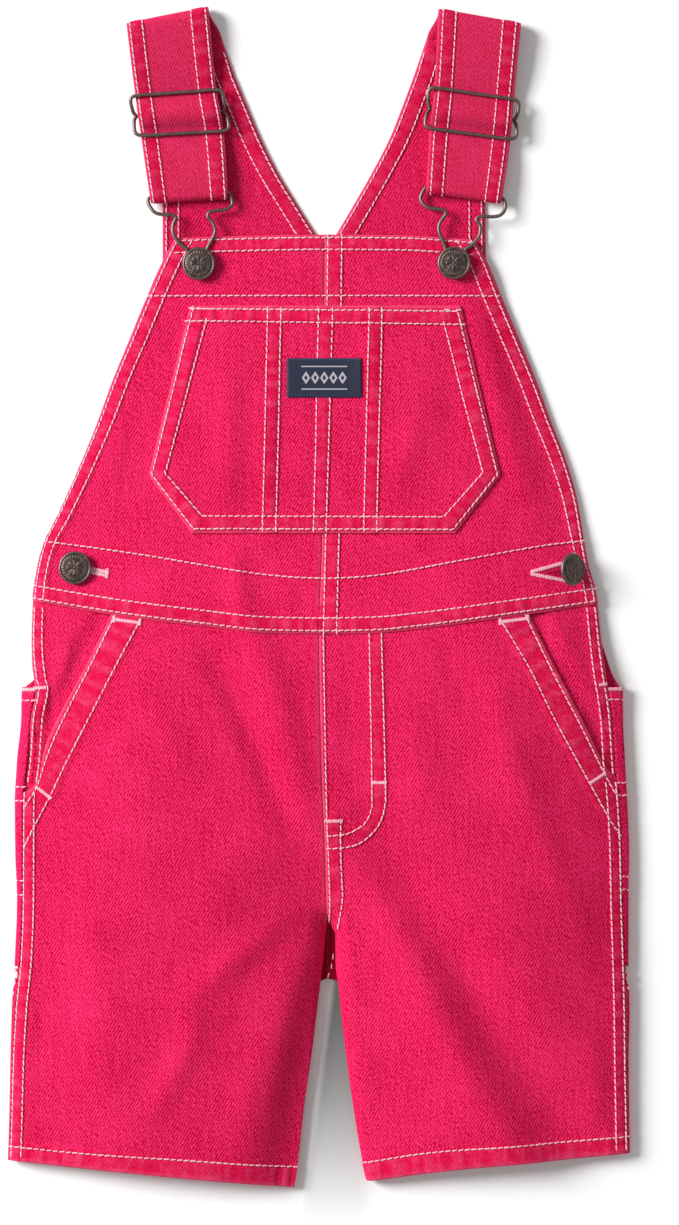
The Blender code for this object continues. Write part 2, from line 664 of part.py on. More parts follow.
def wire_mesh(name, route, closed):
    """A round wire through the route's points, as a mesh with closed ends."""
    curve = bpy.data.curves.new(name, "CURVE")
    curve.dimensions = "3D"
    curve.bevel_depth = WIRE_RADIUS * MM
    curve.bevel_resolution = 1
    curve.use_fill_caps = True
    spline = curve.splines.new("POLY")
    spline.points.add(len(route) - 1)
    for spot, place in zip(spline.points, route):
        spot.co = (*(Vector(place) * MM), 1.0)
    spline.use_cyclic_u = closed
    holder = bpy.data.objects.new(name + "_route", curve)
    bpy.context.collection.objects.link(holder)
    mesh = bpy.data.meshes.new_from_object(holder)
    mesh.name = name
    bpy.data.objects.remove(holder)
    bm = bmesh.new()
    bm.from_mesh(mesh)
    bmesh.ops.remove_doubles(bm, verts=bm.verts, dist=0.00001)
    bmesh.ops.recalc_face_normals(bm, faces=bm.faces)
    bm.to_mesh(mesh)
    bm.free()
    return mesh


def slide(name, table, metal):
    """Two-loop wire slide: the strap runs under its outer bars and over the middle one."""
    width = (Vector(table[1][3:5]) - Vector(table[1][1:3])).length
    beyond = WIRE_BESIDE_STRAP / width
    wide = SLIDE_BULGE / width
    middle = SLIDE_MIDDLE_BAR
    # Columns: along, across beyond the strap, z
    left_side = (
        (SLIDE_LOWER_BAR - 0.6, wide, SLIDE_BAR_Z - 0.3), (SLIDE_LOWER_BAR - 3.5, wide, 5.2),
        (middle + 1.6, beyond, 4.3), (middle, beyond, SLIDE_MIDDLE_Z),
        (middle - 1.6, beyond, 4.3), (SLIDE_TOP_BAR + 3.5, wide, 5.2),
        (SLIDE_TOP_BAR + 0.6, wide, SLIDE_BAR_Z - 0.3),
    )
    route = [(along, -out, z) for along, out, z in left_side]
    route += [(SLIDE_TOP_BAR, across, SLIDE_BAR_Z) for across in (0.0, 0.5, 1.0)]
    route += [(along, 1 + out, z) for along, out, z in reversed(left_side)]
    route += [(SLIDE_LOWER_BAR, across, SLIDE_BAR_Z) for across in (1.0, 0.5, 0.0)]
    ring = wire_mesh(name, [strap_point(table, *place) for place in route], True)
    bar_route = [strap_point(table, middle, across, SLIDE_MIDDLE_Z)
                 for across in (-beyond, 0.5, 1 + beyond)]
    bar_mesh = wire_mesh(name + "_bar", bar_route, False)
    bar = bpy.data.objects.new(name + "_bar", bar_mesh)
    bpy.context.collection.objects.link(bar)
    bar.hide_render = True
    bar.display_type = "WIRE"
    made = add_object(name, ring, metal)
    weld = made.modifiers.new("middle bar", "BOOLEAN")
    weld.operation = "UNION"
    weld.solver = "EXACT"
    weld.object = bar
    return made


def clasp(name, table, shape, button, metal):
    """Wire clasp: its bar lies in the strap's loop and its keyhole rings the button shank."""
    x, y = button
    ring_z = bib_height(x, y) + SEAM_GAP + WIRE_RADIUS + 0.15
    route = []
    for offset_x, offset_y in shape:
        z = float(np.interp(offset_y, (14, 19, 24, 29), (ring_z, ring_z - 0.4, 5.1, CLASP_BAR_Z)))
        route.append((x + offset_x, y + offset_y, z))
    beyond = WIRE_BESIDE_STRAP / (Vector(table[-1][3:5]) - Vector(table[-1][1:3])).length
    for across in (1 + beyond, 0.5, -beyond):
        route.append(strap_point(table, CLASP_BAR, across, CLASP_BAR_Z))
    return add_object(name, wire_mesh(name, route, True), metal)


def button(name, place, tilt, stand, metal):
    """Domed tack button on its shank. `stand` is the clear height under the head."""
    head = BUTTON_RADIUS
    top = stand + BUTTON_THICKNESS
    # Columns: radius, height
    profile = (
        (0.0, 0.0), (SHANK_RADIUS, 0.0), (SHANK_RADIUS, stand), (head - 0.8, stand),
        (head, stand + 0.6), (head - 0.2, stand + 1.3), (head - 1.3, stand + 1.7),
        (head * 0.5, top - 0.15), (0.0, top),
    )
    bm = bmesh.new()
    verts = [bm.verts.new((radius * MM, 0, height * MM)) for radius, height in profile]
    for first, second in zip(verts, verts[1:]):
        bm.edges.new((first, second))
    bmesh.ops.spin(bm, geom=bm.verts[:] + bm.edges[:], cent=(0, 0, 0), axis=(0, 0, 1),
                   angle=math.tau, steps=16)
    bmesh.ops.remove_doubles(bm, verts=bm.verts, dist=0.00001)
    bmesh.ops.recalc_face_normals(bm, faces=bm.faces)
    mesh = bpy.data.meshes.new(name)
    bm.to_mesh(mesh)
    bm.free()
    made = add_object(name, mesh, metal)
    turn = Matrix.Rotation(math.radians(tilt), 4, "Y")
    seat = 0.0
    for vertex in mesh.vertices:
        spot = turn @ vertex.co / MM
        seat = max(seat, bib_height(place[0] + spot.x, place[1] + spot.y) + SEAM_GAP - spot.z)
    made.matrix_world = Matrix.Translation(Vector((*place, seat)) * MM) @ turn
    return made


def build():
    clear_scene()
    denim = ("denim", DENIM)
    metal = ("dark metal", DARK_METAL)
    for side_name, side in (("left", -1), ("right", 1)):
        table = STRAP_LEFT if side < 0 else STRAP_RIGHT
        shape = CLASP_LEFT if side < 0 else CLASP_RIGHT
        front_leg("front_" + side_name, side, denim)
        side_panel("side_panel_" + side_name, side, denim)
        back_leg("back_" + side_name, side, denim)
        tool_pocket("tool_pocket_" + side_name, side, denim)
        bodice_half("bodice_" + side_name, side, table, denim)
        bib_half("bib_" + side_name, side, denim)
        strap("strap_" + side_name, side, table, denim)
        slide("slide_" + side_name, table, metal)
        bib_button = BIB_BUTTONS[side_name]
        clasp("clasp_" + side_name, table, shape, bib_button, metal)
        button("bib_button_" + side_name, bib_button, 0.0, BIB_BUTTON_STAND, metal)
        x, y, tilt, stand = SIDE_BUTTONS[side_name]
        button("side_button_" + side_name, (x, y), tilt, stand, metal)
    bib_pocket(denim)
    label(("label cloth", LABEL_CLOTH))


build()
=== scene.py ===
# %% [markdown]
# # Short bib overalls, laid flat
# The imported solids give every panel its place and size. This script gives them their looks:
# each cloth panel becomes a finer shell on the same surface, with turned edges, creases and
# grooves under the stitching. Then come the stitches, the wire hardware, the buttons, the
# finishes, and last the table, the light and the camera.

# %% Load the frame
import math

import bpy
import numpy as np
from mathutils import Matrix, Vector


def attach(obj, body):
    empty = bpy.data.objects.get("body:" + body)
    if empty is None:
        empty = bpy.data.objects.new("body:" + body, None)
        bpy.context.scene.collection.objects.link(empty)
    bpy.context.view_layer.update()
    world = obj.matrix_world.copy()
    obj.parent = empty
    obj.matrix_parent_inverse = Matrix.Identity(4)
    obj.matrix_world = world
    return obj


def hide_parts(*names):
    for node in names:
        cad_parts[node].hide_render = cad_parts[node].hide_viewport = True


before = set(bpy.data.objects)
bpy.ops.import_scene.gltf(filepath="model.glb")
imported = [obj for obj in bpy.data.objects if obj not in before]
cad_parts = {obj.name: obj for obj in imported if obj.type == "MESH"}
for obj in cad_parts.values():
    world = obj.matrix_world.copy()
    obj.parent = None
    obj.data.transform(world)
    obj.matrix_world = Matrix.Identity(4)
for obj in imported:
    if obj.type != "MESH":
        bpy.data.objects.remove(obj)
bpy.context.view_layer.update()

MM = 0.001

# %% [markdown]
# The tables below are the garment's own sizes in millimetres, the same ones that its solids
# are made from. +X is right and +Y is up as seen from above, so the left side of the picture
# is the wearer's right.

# %% The garment's outline and heights
SIDES = {"left": -1, "right": 1}
CLOTH = 1.2
SEAM_GAP = 0.08
SIDE_SEAM_GAP = 0.05
BIB_LIFT = 1.7
UNDER_LAYER = 1.5
POCKET_LIFT = 1.8
EDGE_SINK = 0.5
EDGE_SINK_REACH = 7.0
LABEL_LIFT = 1.0
LABEL_THICKNESS = 0.6
TOOL_POCKET_LIFT = 1.5
WAIST_LAP = 6.5
BACK_WAIST_Y = -12.0
CENTRE_BACK_X = 4.3
CROTCH = (4.2, -150.0)
BACK_CROTCH_Y = -177.0
FOLD_REACH = 10.5
RIGHT_FALL_REACH = 26.0
LEFT_FALL_REACH = 28.0
LEFT_FALL_TOP = -158.0
LEFT_FALL_LENGTH = 80.0
CREASE_REACH = 16.0
# Reaches over which the crown of the heights table swells up
CROWN_REACH = 62.0
CROTCH_CROWN_REACH = 55.0
UNDER_FOLD_REACH = 6.0

# Columns: y, left edge, left seam, right seam, right edge
FRONT_SIDES = (
    (167.0, -65.4, -65.4, 70.6, 70.6), (156.0, -71.5, -71.5, 77.2, 77.2),
    (137.0, -80.3, -80.3, 85.3, 85.3), (118.0, -88.1, -88.1, 93.2, 93.2),
    (100.0, -95.5, -95.5, 100.5, 100.5), (81.0, -102.4, -102.4, 107.4, 107.4),
    (63.0, -109.7, -109.7, 114.3, 114.3), (45.0, -117.5, -117.5, 119.4, 119.4),
    (35.0, -122.1, -122.1, 121.2, 121.2), (26.0, -126.7, -126.7, 122.6, 122.6),
    (15.0, -129.8, -129.8, 124.6, 124.6), (4.0, -131.6, -131.6, 127.7, 127.7),
    (-3.0, -132.2, -132.2, 128.8, 128.8), (-20.0, -132.7, -132.7, 130.6, 130.6),
    (-38.0, -131.2, -131.2, 132.9, 132.9), (-41.5, -136.8, -130.2, 133.6, 140.3),
    (-56.0, -137.1, -132.7, 135.6, 140.4), (-75.0, -139.0, -134.1, 136.8, 141.3),
    (-95.0, -140.0, -136.3, 138.6, 142.3), (-118.0, -139.8, -136.4, 139.8, 143.2),
    (-140.0, -139.0, -136.5, 140.2, 142.9), (-165.0, -139.9, -137.4, 141.0, 142.9),
    (-190.0, -141.4, -139.8, 141.7, 143.4), (-215.0, -142.1, -141.2, 142.0, 143.0),
    (-240.0, -142.6, -141.9, 142.5, 143.3), (-275.0, -143.9, -143.1, 143.1, 143.9),
)
# Columns: y, left leg, right leg, lowest point of the edge
LEG_GAP = (
    (-150.0, 4.2, 4.2, 1.8), (-156.0, 3.3, 7.6, 1.8), (-168.0, 2.2, 7.7, 1.8),
    (-180.0, 0.6, 9.1, 2.0), (-192.0, -0.9, 10.4, 3.1), (-213.0, -3.5, 12.9, 3.6),
    (-231.0, -6.2, 15.4, 3.5), (-259.0, -9.4, 20.0, 3.2), (-275.0, -11.7, 23.7, 3.1),
)
# Columns: y, left, right
BODY_SIDES = (
    (167.0, -65.4, 70.6), (45.0, -117.5, 119.4), (0.0, -132.0, 129.0), (-56.0, -137.1, 140.4),
    (-140.0, -140.0, 143.0), (-275.0, -143.9, 143.9),
)
# Columns: y, height at the outline, height inside the fold, crown, and how far the right side
# falls away as one slope (1) instead of round a fold (0)
HEIGHTS = (
    (167.0, 2.0, 2.6, 0.8, 0.0), (150.0, 1.8, 2.5, 1.3, 0.3), (138.0, 0.6, 2.4, 1.7, 0.8),
    (100.0, 0.4, 2.3, 2.2, 1.0), (45.0, 0.5, 2.6, 2.4, 1.0), (15.0, 1.8, 4.3, 3.4, 0.8),
    (0.0, 3.0, 5.6, 4.6, 0.8), (-20.0, 4.2, 7.0, 5.6, 0.8), (-38.0, 6.8, 8.0, 6.0, 0.7),
    (-42.0, 4.4, 8.1, 6.1, 0.8), (-70.0, 4.3, 8.7, 6.5, 0.9), (-110.0, 4.2, 8.8, 6.6, 0.9),
    (-180.0, 4.0, 8.2, 6.4, 0.6), (-240.0, 3.6, 7.2, 5.6, 0.4), (-275.0, 3.2, 6.4, 4.8, 0.4),
)
# Columns: y, x
CENTRE_FRONT = (
    (167.0, 2.8), (26.0, 1.6), (-17.0, 0.3), (-84.0, 1.6), (-116.0, 2.9), (-139.0, 3.5),
    (-150.0, 4.2),
)
# Columns: x, y
BIB_TOP = ((-66.0, 165.6), (-31.5, 166.5), (2.0, 167.0), (37.5, 166.8), (71.1, 164.7))
WAIST = (
    (-132.4, -1.8), (-93.6, -8.3), (-54.5, -13.3), (-22.3, -16.6), (1.6, -17.0), (24.6, -16.6),
    (47.1, -14.5), (80.3, -10.1), (129.0, -3.2),
)
HEM_LEFT = ((-143.8, -259.4), (-69.2, -266.6), (-11.3, -272.1))
HEM_RIGHT = ((22.5, -269.1), (66.5, -263.1), (107.9, -259.4), (143.5, -256.4))
# Columns: y, x
SLANT_LEFT = (
    (6.0, -89.0), (-9.7, -96.2), (-29.0, -105.7), (-52.9, -118.5), (-67.6, -125.4),
    (-86.0, -130.0), (-90.0, -135.9),
)
SLANT_RIGHT = (
    (6.0, 90.0), (-8.0, 97.1), (-35.0, 110.3), (-56.1, 121.4), (-77.6, 132.2), (-83.0, 137.5),
)
SLANT_LAP = 8.0
SIDE_X = 132.0
SIDE_PANEL_WIDTH = 40.0
# Columns: y, left edge, right edge
BIB_POCKET = (
    (134.2, -59.0, 65.6), (115.0, -63.7, 70.1), (95.0, -68.6, 74.8), (75.0, -73.6, 79.5),
    (56.0, -78.2, 84.0), (42.0, -67.6, 72.9), (29.2, -58.3, 62.9),
)
LABEL_BOX = (-14.6, 19.9, 91.8, 109.8)
# Columns: y, left outer edge, left inner, right inner, right outer
BODICE = (
    (240.0, -83.2, -38.6, 43.8, 88.6), (228.0, -79.7, -33.5, 39.3, 85.0),
    (212.0, -76.1, -26.8, 33.0, 81.6), (195.0, -73.4, -18.3, 24.2, 78.6),
    (182.0, -72.0, -10.4, 16.8, 77.0), (168.0, -72.0, -1.7, 8.5, 77.1),
    (160.0, -72.0, 3.4, 3.7, 77.2), (120.0, -72.5, 3.4, 3.7, 77.5),
    (100.0, -79.0, 3.6, 3.9, 84.0), (60.0, -95.0, 3.8, 4.1, 99.0),
    (25.0, -114.0, 4.0, 4.3, 112.0), (12.0, -122.0, 4.1, 4.4, 117.0),
    (-11.7, -126.5, 4.15, 4.45, 123.5),
)
TOOL_POCKET_TOP = -41.5
TOOL_POCKET_BOTTOM = -170.0
TOOL_POCKET_INNER = 95.0
TOOL_POCKET_STEP = 6.0
print("outline rows", len(FRONT_SIDES), "height rows", len(HEIGHTS))

# %% [markdown]
# A table says where an edge is at a few heights. Straight lines between its rows would show
# as corners on the finished cloth, so the values are joined by a curve that passes through
# every row and never swings past it.

# %% Reading between the rows of a table
def read(table, column, at):
    """One column of a table as a smooth curve, where the first column is `at`."""
    rows = sorted(table)
    places = np.array([row[0] for row in rows])
    values = np.array([row[column] for row in rows])
    at = np.clip(at, places[0], places[-1])
    step = np.diff(places)
    rise = np.diff(values) / step
    slopes = np.empty_like(values)
    slopes[0], slopes[-1] = rise[0], rise[-1]
    before, after = 2 * step[1:] + step[:-1], step[1:] + 2 * step[:-1]
    same_way = rise[:-1] * rise[1:] > 1e-12
    with np.errstate(divide="ignore", invalid="ignore"):
        mean = (before + after) / (before / rise[:-1] + after / rise[1:])
    slopes[1:-1] = np.where(same_way, mean, 0.0)
    row = np.clip(np.searchsorted(places, at) - 1, 0, len(step) - 1)
    share = (at - places[row]) / step[row]
    rest = 1 - share
    return (values[row] * (1 + 2 * share) * rest ** 2
            + values[row + 1] * (3 - 2 * share) * share ** 2
            + step[row] * (slopes[row] * share * rest ** 2
                           - slopes[row + 1] * rest * share ** 2))


def side_word(side):
    return "left" if side < 0 else "right"


def ease(share):
    """Smooth step: level at 0 and at 1."""
    share = np.clip(share, 0.0, 1.0)
    return share * share * (3 - 2 * share)


def rounded(distance, reach):
    """Quarter round: 0 at the edge, 1 from `reach` inward."""
    share = 1 - np.clip(distance / reach, 0.0, 1.0)
    return np.sqrt(1 - share * share)


def swelling(distance, reach):
    """Soft rise: 0 at the edge, 1 from `reach` inward, level at both ends."""
    return np.sin(np.clip(distance / reach, 0.0, 1.0) * math.pi / 2) ** 2


bib_width = float(read(FRONT_SIDES, 4, 100.0) - read(FRONT_SIDES, 1, 100.0))
print("bib is", round(bib_width, 1), "mm wide at y 100")

# %% [markdown]
# Seams, stitch rows and creases all run along lines drawn on the cloth. Two helpers serve
# them all: one fills a few points in to a smooth line, the other measures how far each point
# of the cloth is from a line, and how far along it.

# %% Lines on the cloth
def smooth_line(points, step=1.5, closed=False):
    """Points every `step` millimetres or so on a smooth curve through the given ones."""
    points = np.array(points, dtype=float)
    if closed:
        padded = np.concatenate((points[-1:], points, points[:2]))
    else:
        before, after = 2 * points[:1] - points[1:2], 2 * points[-1:] - points[-2:-1]
        padded = np.concatenate((before, points, after))
    found = []
    for p0, p1, p2, p3 in zip(padded, padded[1:], padded[2:], padded[3:]):
        count = max(2, int(np.linalg.norm(p2 - p1) / step) + 1)
        for share in np.linspace(0, 1, count, endpoint=False):
            found.append(0.5 * (2 * p1 + (p2 - p0) * share
                                + (2 * p0 - 5 * p1 + 4 * p2 - p3) * share ** 2
                                + (3 * p1 - p0 - 3 * p2 + p3) * share ** 3))
    if not closed:
        found.append(points[-1])
    return np.array(found)


def straight_line(points, step=1.5):
    """Points every `step` millimetres or so on straight runs, with their corners kept."""
    points = np.array(points, dtype=float)
    found = [points[:1]]
    for start, end in zip(points, points[1:]):
        count = max(2, int(np.linalg.norm(end - start) / step) + 2)
        found.append(np.linspace(start, end, count)[1:])
    return np.concatenate(found)


def measure(line, x, y):
    """Distance of every (x, y) from a line, and how far along it the nearest place is."""
    nearest = np.full(np.shape(x), 1e9)
    along = np.zeros(np.shape(x))
    travelled = 0.0
    for (x0, y0), (x1, y1) in zip(line, line[1:]):
        run_x, run_y = x1 - x0, y1 - y0
        length = math.hypot(run_x, run_y)
        if length == 0:
            continue
        share = np.clip(((x - x0) * run_x + (y - y0) * run_y) / length ** 2, 0, 1)
        distance = np.hypot(x - x0 - share * run_x, y - y0 - share * run_y)
        closer = distance < nearest
        nearest = np.where(closer, distance, nearest)
        along = np.where(closer, travelled + share * length, along)
        travelled += length
    return nearest, along


# %% [markdown]
# Loose denim laid on a table keeps soft folds. The large ones are the same ridges that the
# solids have. The smaller creases were placed after the photo, each as a ridge or a
# trough along a bent line with its own width and depth, because no two creases are alike.

# %% Folds and creases
# Columns: start x, y, end x, y, half width, height
FOLDS = (
    (-34, -26, -14, -112, 8, 0.4),
    (-74, -40, -62, -96, 9, 0.4),
    (-4, -128, -56, -186, 9, 0.6),
    (-104, -150, -92, -232, 10, 0.3),
    (40, -70, 72, -122, 9, 0.5),
    (14, -158, 58, -208, 9, 0.5),
    (-60, 16, -22, 24, 6, 0.4),
)
# Columns: start x, y, middle x, y, end x, y, half width, height (a trough is below zero)
CREASES = (
    (-52, -22, -32, -60, -9, -116, 6, -2.4),
    (-37, -2, -21, -40, -6, -96, 7.5, 1.9),
    (-84, -40, -74, -55, -58, -82, 6, 0.7),
    (-83, -54, -94, -76, -106, -92, 5, 0.4),
    (-12, -147, -34, -163, -62, -185, 6, 1.2),
    (-61, -178, -59, -204, -78, -242, 6.5, 1.5),
    (-7, -156, -18, -202, -38, -272, 16, 3.7),
    (-105, -110, -104, -170, -102, -240, 10, 1),
    (-127, -186, -128, -200, -130, -214, 3.8, -0.8),
    (8, -104, 44, -170, 102, -278, 12, 3.2),
    (14, -90, 60, -163, 126, -268, 14.5, -4.3),
    (11.5, -140, 12.5, -158, 15, -180, 3.2, 2),
    (76, -34, 91, -80, 122, -156, 9, 1.8),
    (54, -20, 66, -40, 90, -66, 6, -0.8),
    (42, -40, 46, -72, 50, -104, 9, 0.8),
    (14, -24, 15, -60, 16, -96, 6, -0.5),
    (124, -200, 128, -222, 128, -246, 6, 0.8),
    (105, -4, 113, -30, 128, -62, 6, 0.9),
    (-117, -6, -116, -25, -121, -48, 4.2, 1),
    (-60, 24, -50, 21.5, -34, 22.5, 2.8, -0.6),
    (-44, 29, -30, 25, -14, 27, 3, 0.5),
    (-40, 26, -37, 8, -34, -12, 5.5, 1.5),
    (-9, 6, -8, 0, -7, -8, 4, -0.6),
    (-88, -21, -79, -21.8, -68, -20, 3.2, -0.8),
    (16, 20, 40, 16, 64, 21, 4, -0.4),
    (-108, 50, -92, 44, -84, 36, 5, -0.6),
    (-90, 92, -94, 66, -100, 40, 6, 0.8),
    (70, 142, 81, 98, 99, 40, 8, 1.8),
    (-62, 145, -40, 148, -14, 146, 4, 0.5),
    (20, 146, 40, 149, 60, 144, 4, -0.5),
    (-70, 128, -66, 120, -66, 108, 5, -0.7),
    (-44, 108, -41, 76, -42, 36, 8, 1.3),
    (-24, 104, -25, 76, -26, 36, 5, 0.8),
    (22, 134, 23, 116, 22, 92, 5, 0.8),
    (45, 88, 42, 70, 36, 48, 6, 0.8),
    (58, 112, 62, 88, 60, 60, 7, -0.7),
    (-10, 86, -6, 68, -12, 46, 6, 0.5),
    (84, -20, 96, -17, 108, -20, 3, -0.5),
)


def crease_relief(x, y):
    relief = np.zeros(np.shape(x))
    for x0, y0, x1, y1, half_width, height in FOLDS:
        distance, along = measure(((x0, y0), (x1, y1)), x, y)
        share = along / math.hypot(x1 - x0, y1 - y0)
        relief += height * np.sin(math.pi * (0.15 + 0.7 * share)) * np.exp(-(distance / half_width) ** 2)
    for x0, y0, x1, y1, x2, y2, half_width, height in CREASES:
        line = smooth_line(((x0, y0), (x1, y1), (x2, y2)), 8.0)
        length = np.sum(np.hypot(*np.diff(line, axis=0).T))
        distance, along = measure(line, x, y)
        taper = np.sin(math.pi * np.clip(along / length, 0.02, 0.98)) ** 0.6
        relief += height * taper * np.exp(-(distance / half_width) ** 2)
    return relief


print("creases", len(FOLDS) + len(CREASES))

# %% [markdown]
# One height function serves the trouser front, the bib, the bib pocket and the label, each a
# little higher than the one under it. So the layers follow each other over every crease, and
# none can cut through another.

# %% The top surface
def leg_gap(x, y):
    """How far a point of the front is from the gap between the legs, and that edge's height."""
    beside = np.where(x < CROTCH[0] + 1.5, read(LEG_GAP, 1, y) - x, x - read(LEG_GAP, 2, y))
    above = y > CROTCH[1]
    distance = np.where(above, np.hypot(x - CROTCH[0], y - CROTCH[1]), beside)
    return distance, np.where(above, LEG_GAP[0][3], read(LEG_GAP, 3, y))


def slope(distance, reach):
    """Steepest at the edge: 0 there, 1 from `reach` inward."""
    return np.sin(np.clip(distance / reach, 0.0, 1.0) * math.pi / 2)


def top_height(x, y):
    rim, shoulder, crown, fall = (read(HEIGHTS, column, y) for column in (1, 2, 3, 4))
    left = x - read(FRONT_SIDES, 1, y)
    right = read(FRONT_SIDES, 4, y) - x
    gap, gap_rim = leg_gap(x, y)
    left_share = rounded(left, FOLD_REACH)
    right_share = (1 - fall) * rounded(right, FOLD_REACH) + fall * slope(right, RIGHT_FALL_REACH)
    inner = (x < CROTCH[0]) * ease((LEFT_FALL_TOP - y) / LEFT_FALL_LENGTH)
    gap_share = (1 - inner) * rounded(gap, FOLD_REACH) + inner * slope(gap, LEFT_FALL_REACH)
    side_height = rim + (shoulder - rim) * np.minimum(left_share, right_share)
    gap_height = gap_rim + (shoulder - gap_rim) * gap_share
    body = swelling(x - read(BODY_SIDES, 1, y), CROWN_REACH)
    body = body * swelling(read(BODY_SIDES, 2, y) - x, CROWN_REACH)
    body = body * swelling(gap, CROTCH_CROWN_REACH)
    softened = swelling(np.minimum(np.minimum(left, right), gap), CREASE_REACH)
    return np.minimum(side_height, gap_height) + crown * body + softened * crease_relief(x, y)


def bib_lift(x, y):
    """How far the bib's outer face is above the top surface: less at its sewn lower edge."""
    return BIB_LIFT - EDGE_SINK * (1 - swelling(y - read(WAIST, 1, x), EDGE_SINK_REACH))


POCKET_OUTLINE = [(left, y) for y, left, _ in BIB_POCKET]
POCKET_OUTLINE += [(right, y) for y, _, right in reversed(BIB_POCKET)] + POCKET_OUTLINE[:1]


def pocket_lift(x, y):
    """The same for the bib pocket above the bib."""
    distance, _ = measure(POCKET_OUTLINE, x, y)
    return POCKET_LIFT - EDGE_SINK * (1 - swelling(distance, EDGE_SINK_REACH))


def pocket_sides(y):
    """Left and right edge of the bib pocket at y."""
    return (np.interp(-y, [-row[0] for row in BIB_POCKET], [row[column] for row in BIB_POCKET])
            for column in (1, 2))


def surface_normals(x, y):
    """Unit normals of the top surface."""
    step = 0.4
    slope_x = (top_height(x + step, y) - top_height(x - step, y)) / (2 * step)
    slope_y = (top_height(x, y + step) - top_height(x, y - step)) / (2 * step)
    normals = np.stack((-slope_x, -slope_y, np.ones_like(slope_x)), axis=-1)
    return normals / np.linalg.norm(normals, axis=-1, keepdims=True)


lap_height = float(top_height(np.array(-60.0), np.array(-80.0)))
print("height in the middle of the lap", round(lap_height, 1), "mm")

# %% [markdown]
# Topstitching is what makes these overalls: most seams have two rows of pale thread. The
# rows are listed once, panel by panel, and used three times: to press a groove into the
# cloth, to swell and pucker the doubled cloth between two rows, and to lay the stitches.

# %% Stitch rows
# How far the two rows beside the bib and the side openings are inside the edge.
# Columns: y, outer row, inner row
SIDE_ROWS = (
    (167.0, 1.9, 8.6), (137.0, 2.6, 8.7), (100.0, 2.2, 8.1), (60.0, 1.7, 7.2), (35.0, 1.5, 6.2),
    (15.0, 1.6, 5.3), (-42.0, 1.8, 5.8),
)
WAIST_FACING = (
    (-126.0, 25.6), (-102.4, 22.5), (-74.8, 18.4), (-33.8, 11.5), (-13.1, 9.2), (2.5, 8.5),
    (19.1, 9.2), (36.1, 11.3), (69.2, 17.5), (102.8, 23.5), (121.6, 25.8),
)
# Distances of the two rows along the waist seam above the bib's folded lower edge
WAIST_ROWS = (1.5, 7.3)
FLY_ROWS = (
    ((29.0, -17.6), (30.8, -85.1), (30.5, -96.1), (28.2, -103.7), (24.2, -109.0),
     (18.6, -113.2), (12.0, -115.0), (4.8, -115.5)),
    ((23.4, -17.8), (24.6, -86.0), (24.2, -97.5), (21.4, -103.7), (17.4, -106.7),
     (12.7, -108.8), (4.8, -109.7)),
)
CROTCH_ROWS = (
    ((2.3, -17.6), (3.7, -93.4), (4.6, -116.4), (5.3, -139.4), (5.0, -150.0)),
    ((10.3, -102.9), (10.3, -116.6), (10.9, -131.4), (11.2, -137.5), (10.4, -144.9), (9.2, -151.5)),
)
SLANT_ROWS_LEFT = (
    ((-93.6, -8.7), (-103.5, -29.0), (-117.2, -56.0), (-124.2, -72.0), (-129.2, -86.7),
     (-134.4, -95.5)),
    ((-81.9, -11.0), (-91.6, -29.0), (-104.3, -53.6), (-116.2, -76.8), (-122.6, -90.2),
     (-131.0, -106.3), (-134.8, -114.0)),
)
SLANT_ROWS_RIGHT = (
    ((95.2, -8.4), (107.2, -33.5), (119.0, -56.1), (130.6, -79.4), (136.2, -89.5)),
    ((83.8, -10.6), (97.1, -33.1), (108.5, -56.1), (124.9, -86.0), (133.6, -101.5),
     (138.6, -109.2)),
)
# How far the two rows beside the outer seam are from it
OUTSEAM_ROWS = (1.0, 5.6)
HEM_ROW_LEFT = ((-141.5, -253.0), (-107.9, -255.8), (-59.6, -258.8), (-10.4, -262.7))
HEM_ROW_RIGHT = ((21.6, -260.4), (56.4, -254.8), (107.7, -251.1), (142.3, -248.6))
BIB_TOP_ROWS = (1.4, 6.9)
BIB_CROSS_Y = 138.8
CENTRE_ROWS = (
    ((4.4, 166.0), (4.1, 138.8), (3.4, 27.3), (2.4, -15.8)),
    ((10.8, 166.0), (10.5, 138.8), (9.5, 27.3), (8.4, -15.8)),
)
POCKET_OUTER_ROW = (
    (-57.6, 132.7), (64.2, 131.5), (82.3, 56.4), (61.9, 30.9), (-57.4, 31.2), (-76.5, 56.2),
    (-57.6, 132.7),
)
POCKET_INNER_ROW = (
    (-51.6, 126.9), (-70.3, 56.9), (-53.4, 37.1), (57.6, 36.7), (75.6, 57.2), (57.8, 125.7),
)
POCKET_HEM_ROW = ((-60.2, 127.1), (66.4, 125.4))
# Rows down the bib pocket. Columns: x at the pocket's top, x at its bottom
POCKET_DOWN_ROWS = (
    (-23.3, -25.7), (-17.2, -19.6), (0.1, -2.2), (6.6, 3.6), (23.4, 20.9), (29.2, 26.8),
)
POCKET_DOWN_Y = (132.0, 31.0)


def beside_edge(table, column, side, offsets, ys):
    """A line inside an edge of a table, by a set distance or by a table of distances."""
    return np.stack((read(table, column, ys) - side * offsets, ys), axis=1)


